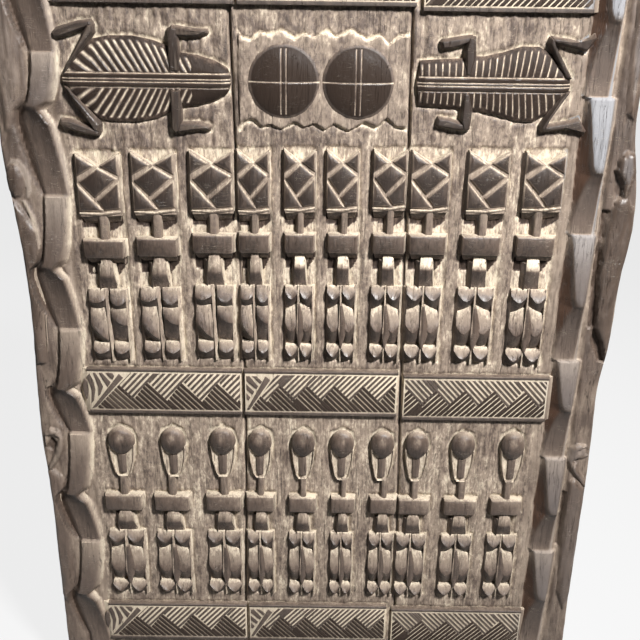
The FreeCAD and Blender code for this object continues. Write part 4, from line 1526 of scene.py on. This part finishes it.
def carve_animals():
    """A crocodile on each outer plank and two tortoises between them."""
    for plank, word, belly, legs, *strokes in CROCODILES:
        body, leg_pieces = crocodile(belly, legs, *strokes)
        finish_sheet(body, plank, "crocodile_" + word)
        place_carving(leg_pieces, "crocodile_legs", plank)
        cut_round(belly + mirrored(belly[::-1], True), 7.0, 3.2, 0.5)
        for corners, _ in legs:
            for mirror in (False, True):
                cut_round(mirrored(corners, mirror), 6.0, 2.8, 0.6)
    for word, across in (("left", -52), ("right", 46)):
        finish_sheet(tortoise(across, 48, 49), 1, "tortoise_" + word)
    for mirror in (False, True):
        line = mirrored(SKIRT_LINE, mirror)
        under = [(x, z + (2.4 if mirror else -2.4)) for x, z in line]
        cut_round(line + under[::-1], 2.6, 2.5, 0.9)


carve_figures()
carve_braids()
carve_animals()
for groove in BORDER_GROOVES:
    cut_round(*groove)

for plank_index in range(3):
    sheet = ground_sheet(plank_index)
    belongs(sheet, PLANKS[plank_index], CARVED)
    core = board_core(plank_index)
    belongs(core, PLANKS[plank_index], BOARD)

for end_word, pivot_low, pivot_high in (
        ("bottom", PIVOT_LOW, FOOT + PIVOT_ROOT), ("top", HEAD - PIVOT_ROOT, PIVOT_HIGH)):
    pin = pivot(pivot_low, pivot_high)
    pin.name = "pivot_" + end_word
    belongs(pin, "plank_left", BOARD)

for batten_index, place_word in enumerate(("bottom", "middle", "top")):
    hewn = batten("batten_" + place_word, 20 + 3 * batten_index)
    belongs(hewn, "batten_" + place_word, HEWN)
    nails = joined(batten_nails(place_word), "forged_nails_" + place_word)
    hand_cut(nails, waver=0.3, edge=0.3, divide=0)
    belongs(nails, "nails_" + place_word, IRON)

for seam_index, side_word in enumerate(("left", "right")):
    staples = joined(seam_staples(seam_index), "forged_staples_" + side_word)
    hand_cut(staples, waver=0.4, edge=0.4, divide=1)
    belongs(staples, "staples_" + side_word, IRON)


# Floor, light and camera

def studio_white(name, share):
    """Pale and matt; seen by the camera it is mostly plain white, with a soft shadow left."""
    material = bpy.data.materials.new(name)
    material.use_nodes = True
    b = Bench(material.node_tree)
    material.node_tree.nodes.clear()
    matt = b.add("ShaderNodeBsdfDiffuse")
    matt.inputs["Color"].default_value = (0.3, 0.3, 0.3, 1)
    glow = b.add("ShaderNodeEmission")
    glow.inputs["Strength"].default_value = 1.0
    rays = b.add("ShaderNodeLightPath")
    seen = b.times(rays.outputs["Is Camera Ray"], share)
    blend = b.add("ShaderNodeMixShader")
    b.link(seen, blend.inputs[0])
    b.link(matt.outputs[0], blend.inputs[1])
    b.link(glow.outputs[0], blend.inputs[2])
    output = b.add("ShaderNodeOutputMaterial")
    b.link(blend.outputs[0], output.inputs["Surface"])
    return material


free_selection()
bpy.ops.mesh.primitive_plane_add(size=14, location=(MIDDLE, 0, PIVOT_LOW - 0.5 * MM))
floor = bpy.context.object
floor.name = "floor"
floor.data.materials.append(studio_white("pale_floor", 0.8))

world = bpy.context.scene.world or bpy.data.worlds.new("studio")
bpy.context.scene.world = world
world.use_nodes = True
world.node_tree.nodes.clear()
sky = Bench(world.node_tree)
rays = sky.add("ShaderNodeLightPath")
shown = sky.math("MAXIMUM", rays.outputs["Is Camera Ray"], rays.outputs["Is Transmission Ray"])
background = sky.add("ShaderNodeBackground")
background.inputs["Color"].default_value = (1, 1, 1, 1)
sky.link(sky.spread(shown, 0.0, 1.0, 0.05, 1.0, smooth_ends=False), background.inputs["Strength"])
sky.link(background.outputs[0], sky.add("ShaderNodeOutputWorld").inputs["Surface"])


def softbox(name, aim, azimuth, elevation, distance, size, power, shine_only=False):
    """A soft lamp that looks at aim; azimuth 0 is straight in front, positive to the right."""
    turn, climb = math.radians(azimuth), math.radians(elevation)
    way = np.array([math.sin(turn) * math.cos(climb), -math.cos(turn) * math.cos(climb), math.sin(climb)])
    lamp = bpy.data.lights.new(name, "AREA")
    lamp.shape = "RECTANGLE"
    lamp.size, lamp.size_y = size
    lamp.energy = power
    lamp.spread = math.radians(100)
    holder = bpy.data.objects.new(name, lamp)
    bpy.context.collection.objects.link(holder)
    holder.location = np.array(aim) + way * distance
    holder.rotation_euler = (math.radians(90) - climb, 0, turn)
    holder.visible_diffuse = not shine_only


AIM = (MIDDLE, GROUND, SIGHT)
softbox("key", AIM, 31, 43, 2.6, (0.3, 0.3), 62)
softbox("front_shine", AIM, 14, -6, 2.6, (1.3, 0.9), 2.6, shine_only=True)
softbox("back_fill", AIM, 165, 40, 3.0, (1.8, 1.8), 40)

lens = bpy.data.cameras.new("camera")
lens.lens = 50
lens.sensor_width = 36
lens.clip_start = 0.05
camera = bpy.data.objects.new("camera", lens)
bpy.context.collection.objects.link(camera)
LOOK_DOWN = math.radians(22)
ROLL = math.radians(0.8)
look = Matrix.Rotation(math.radians(90) - LOOK_DOWN, 4, "X") @ Matrix.Rotation(ROLL, 4, "Z")
RELIEF_MIDDLE = 10 * MM
CAMERA_AWAY = 1.195
CAMERA_UP = 0.4828
stand = Matrix.Translation((MIDDLE, GROUND - RELIEF_MIDDLE - CAMERA_AWAY, SIGHT + CAMERA_UP))
camera.matrix_world = stand @ look
bpy.context.scene.camera = camera
bpy.context.scene.view_settings.view_transform = "Standard"
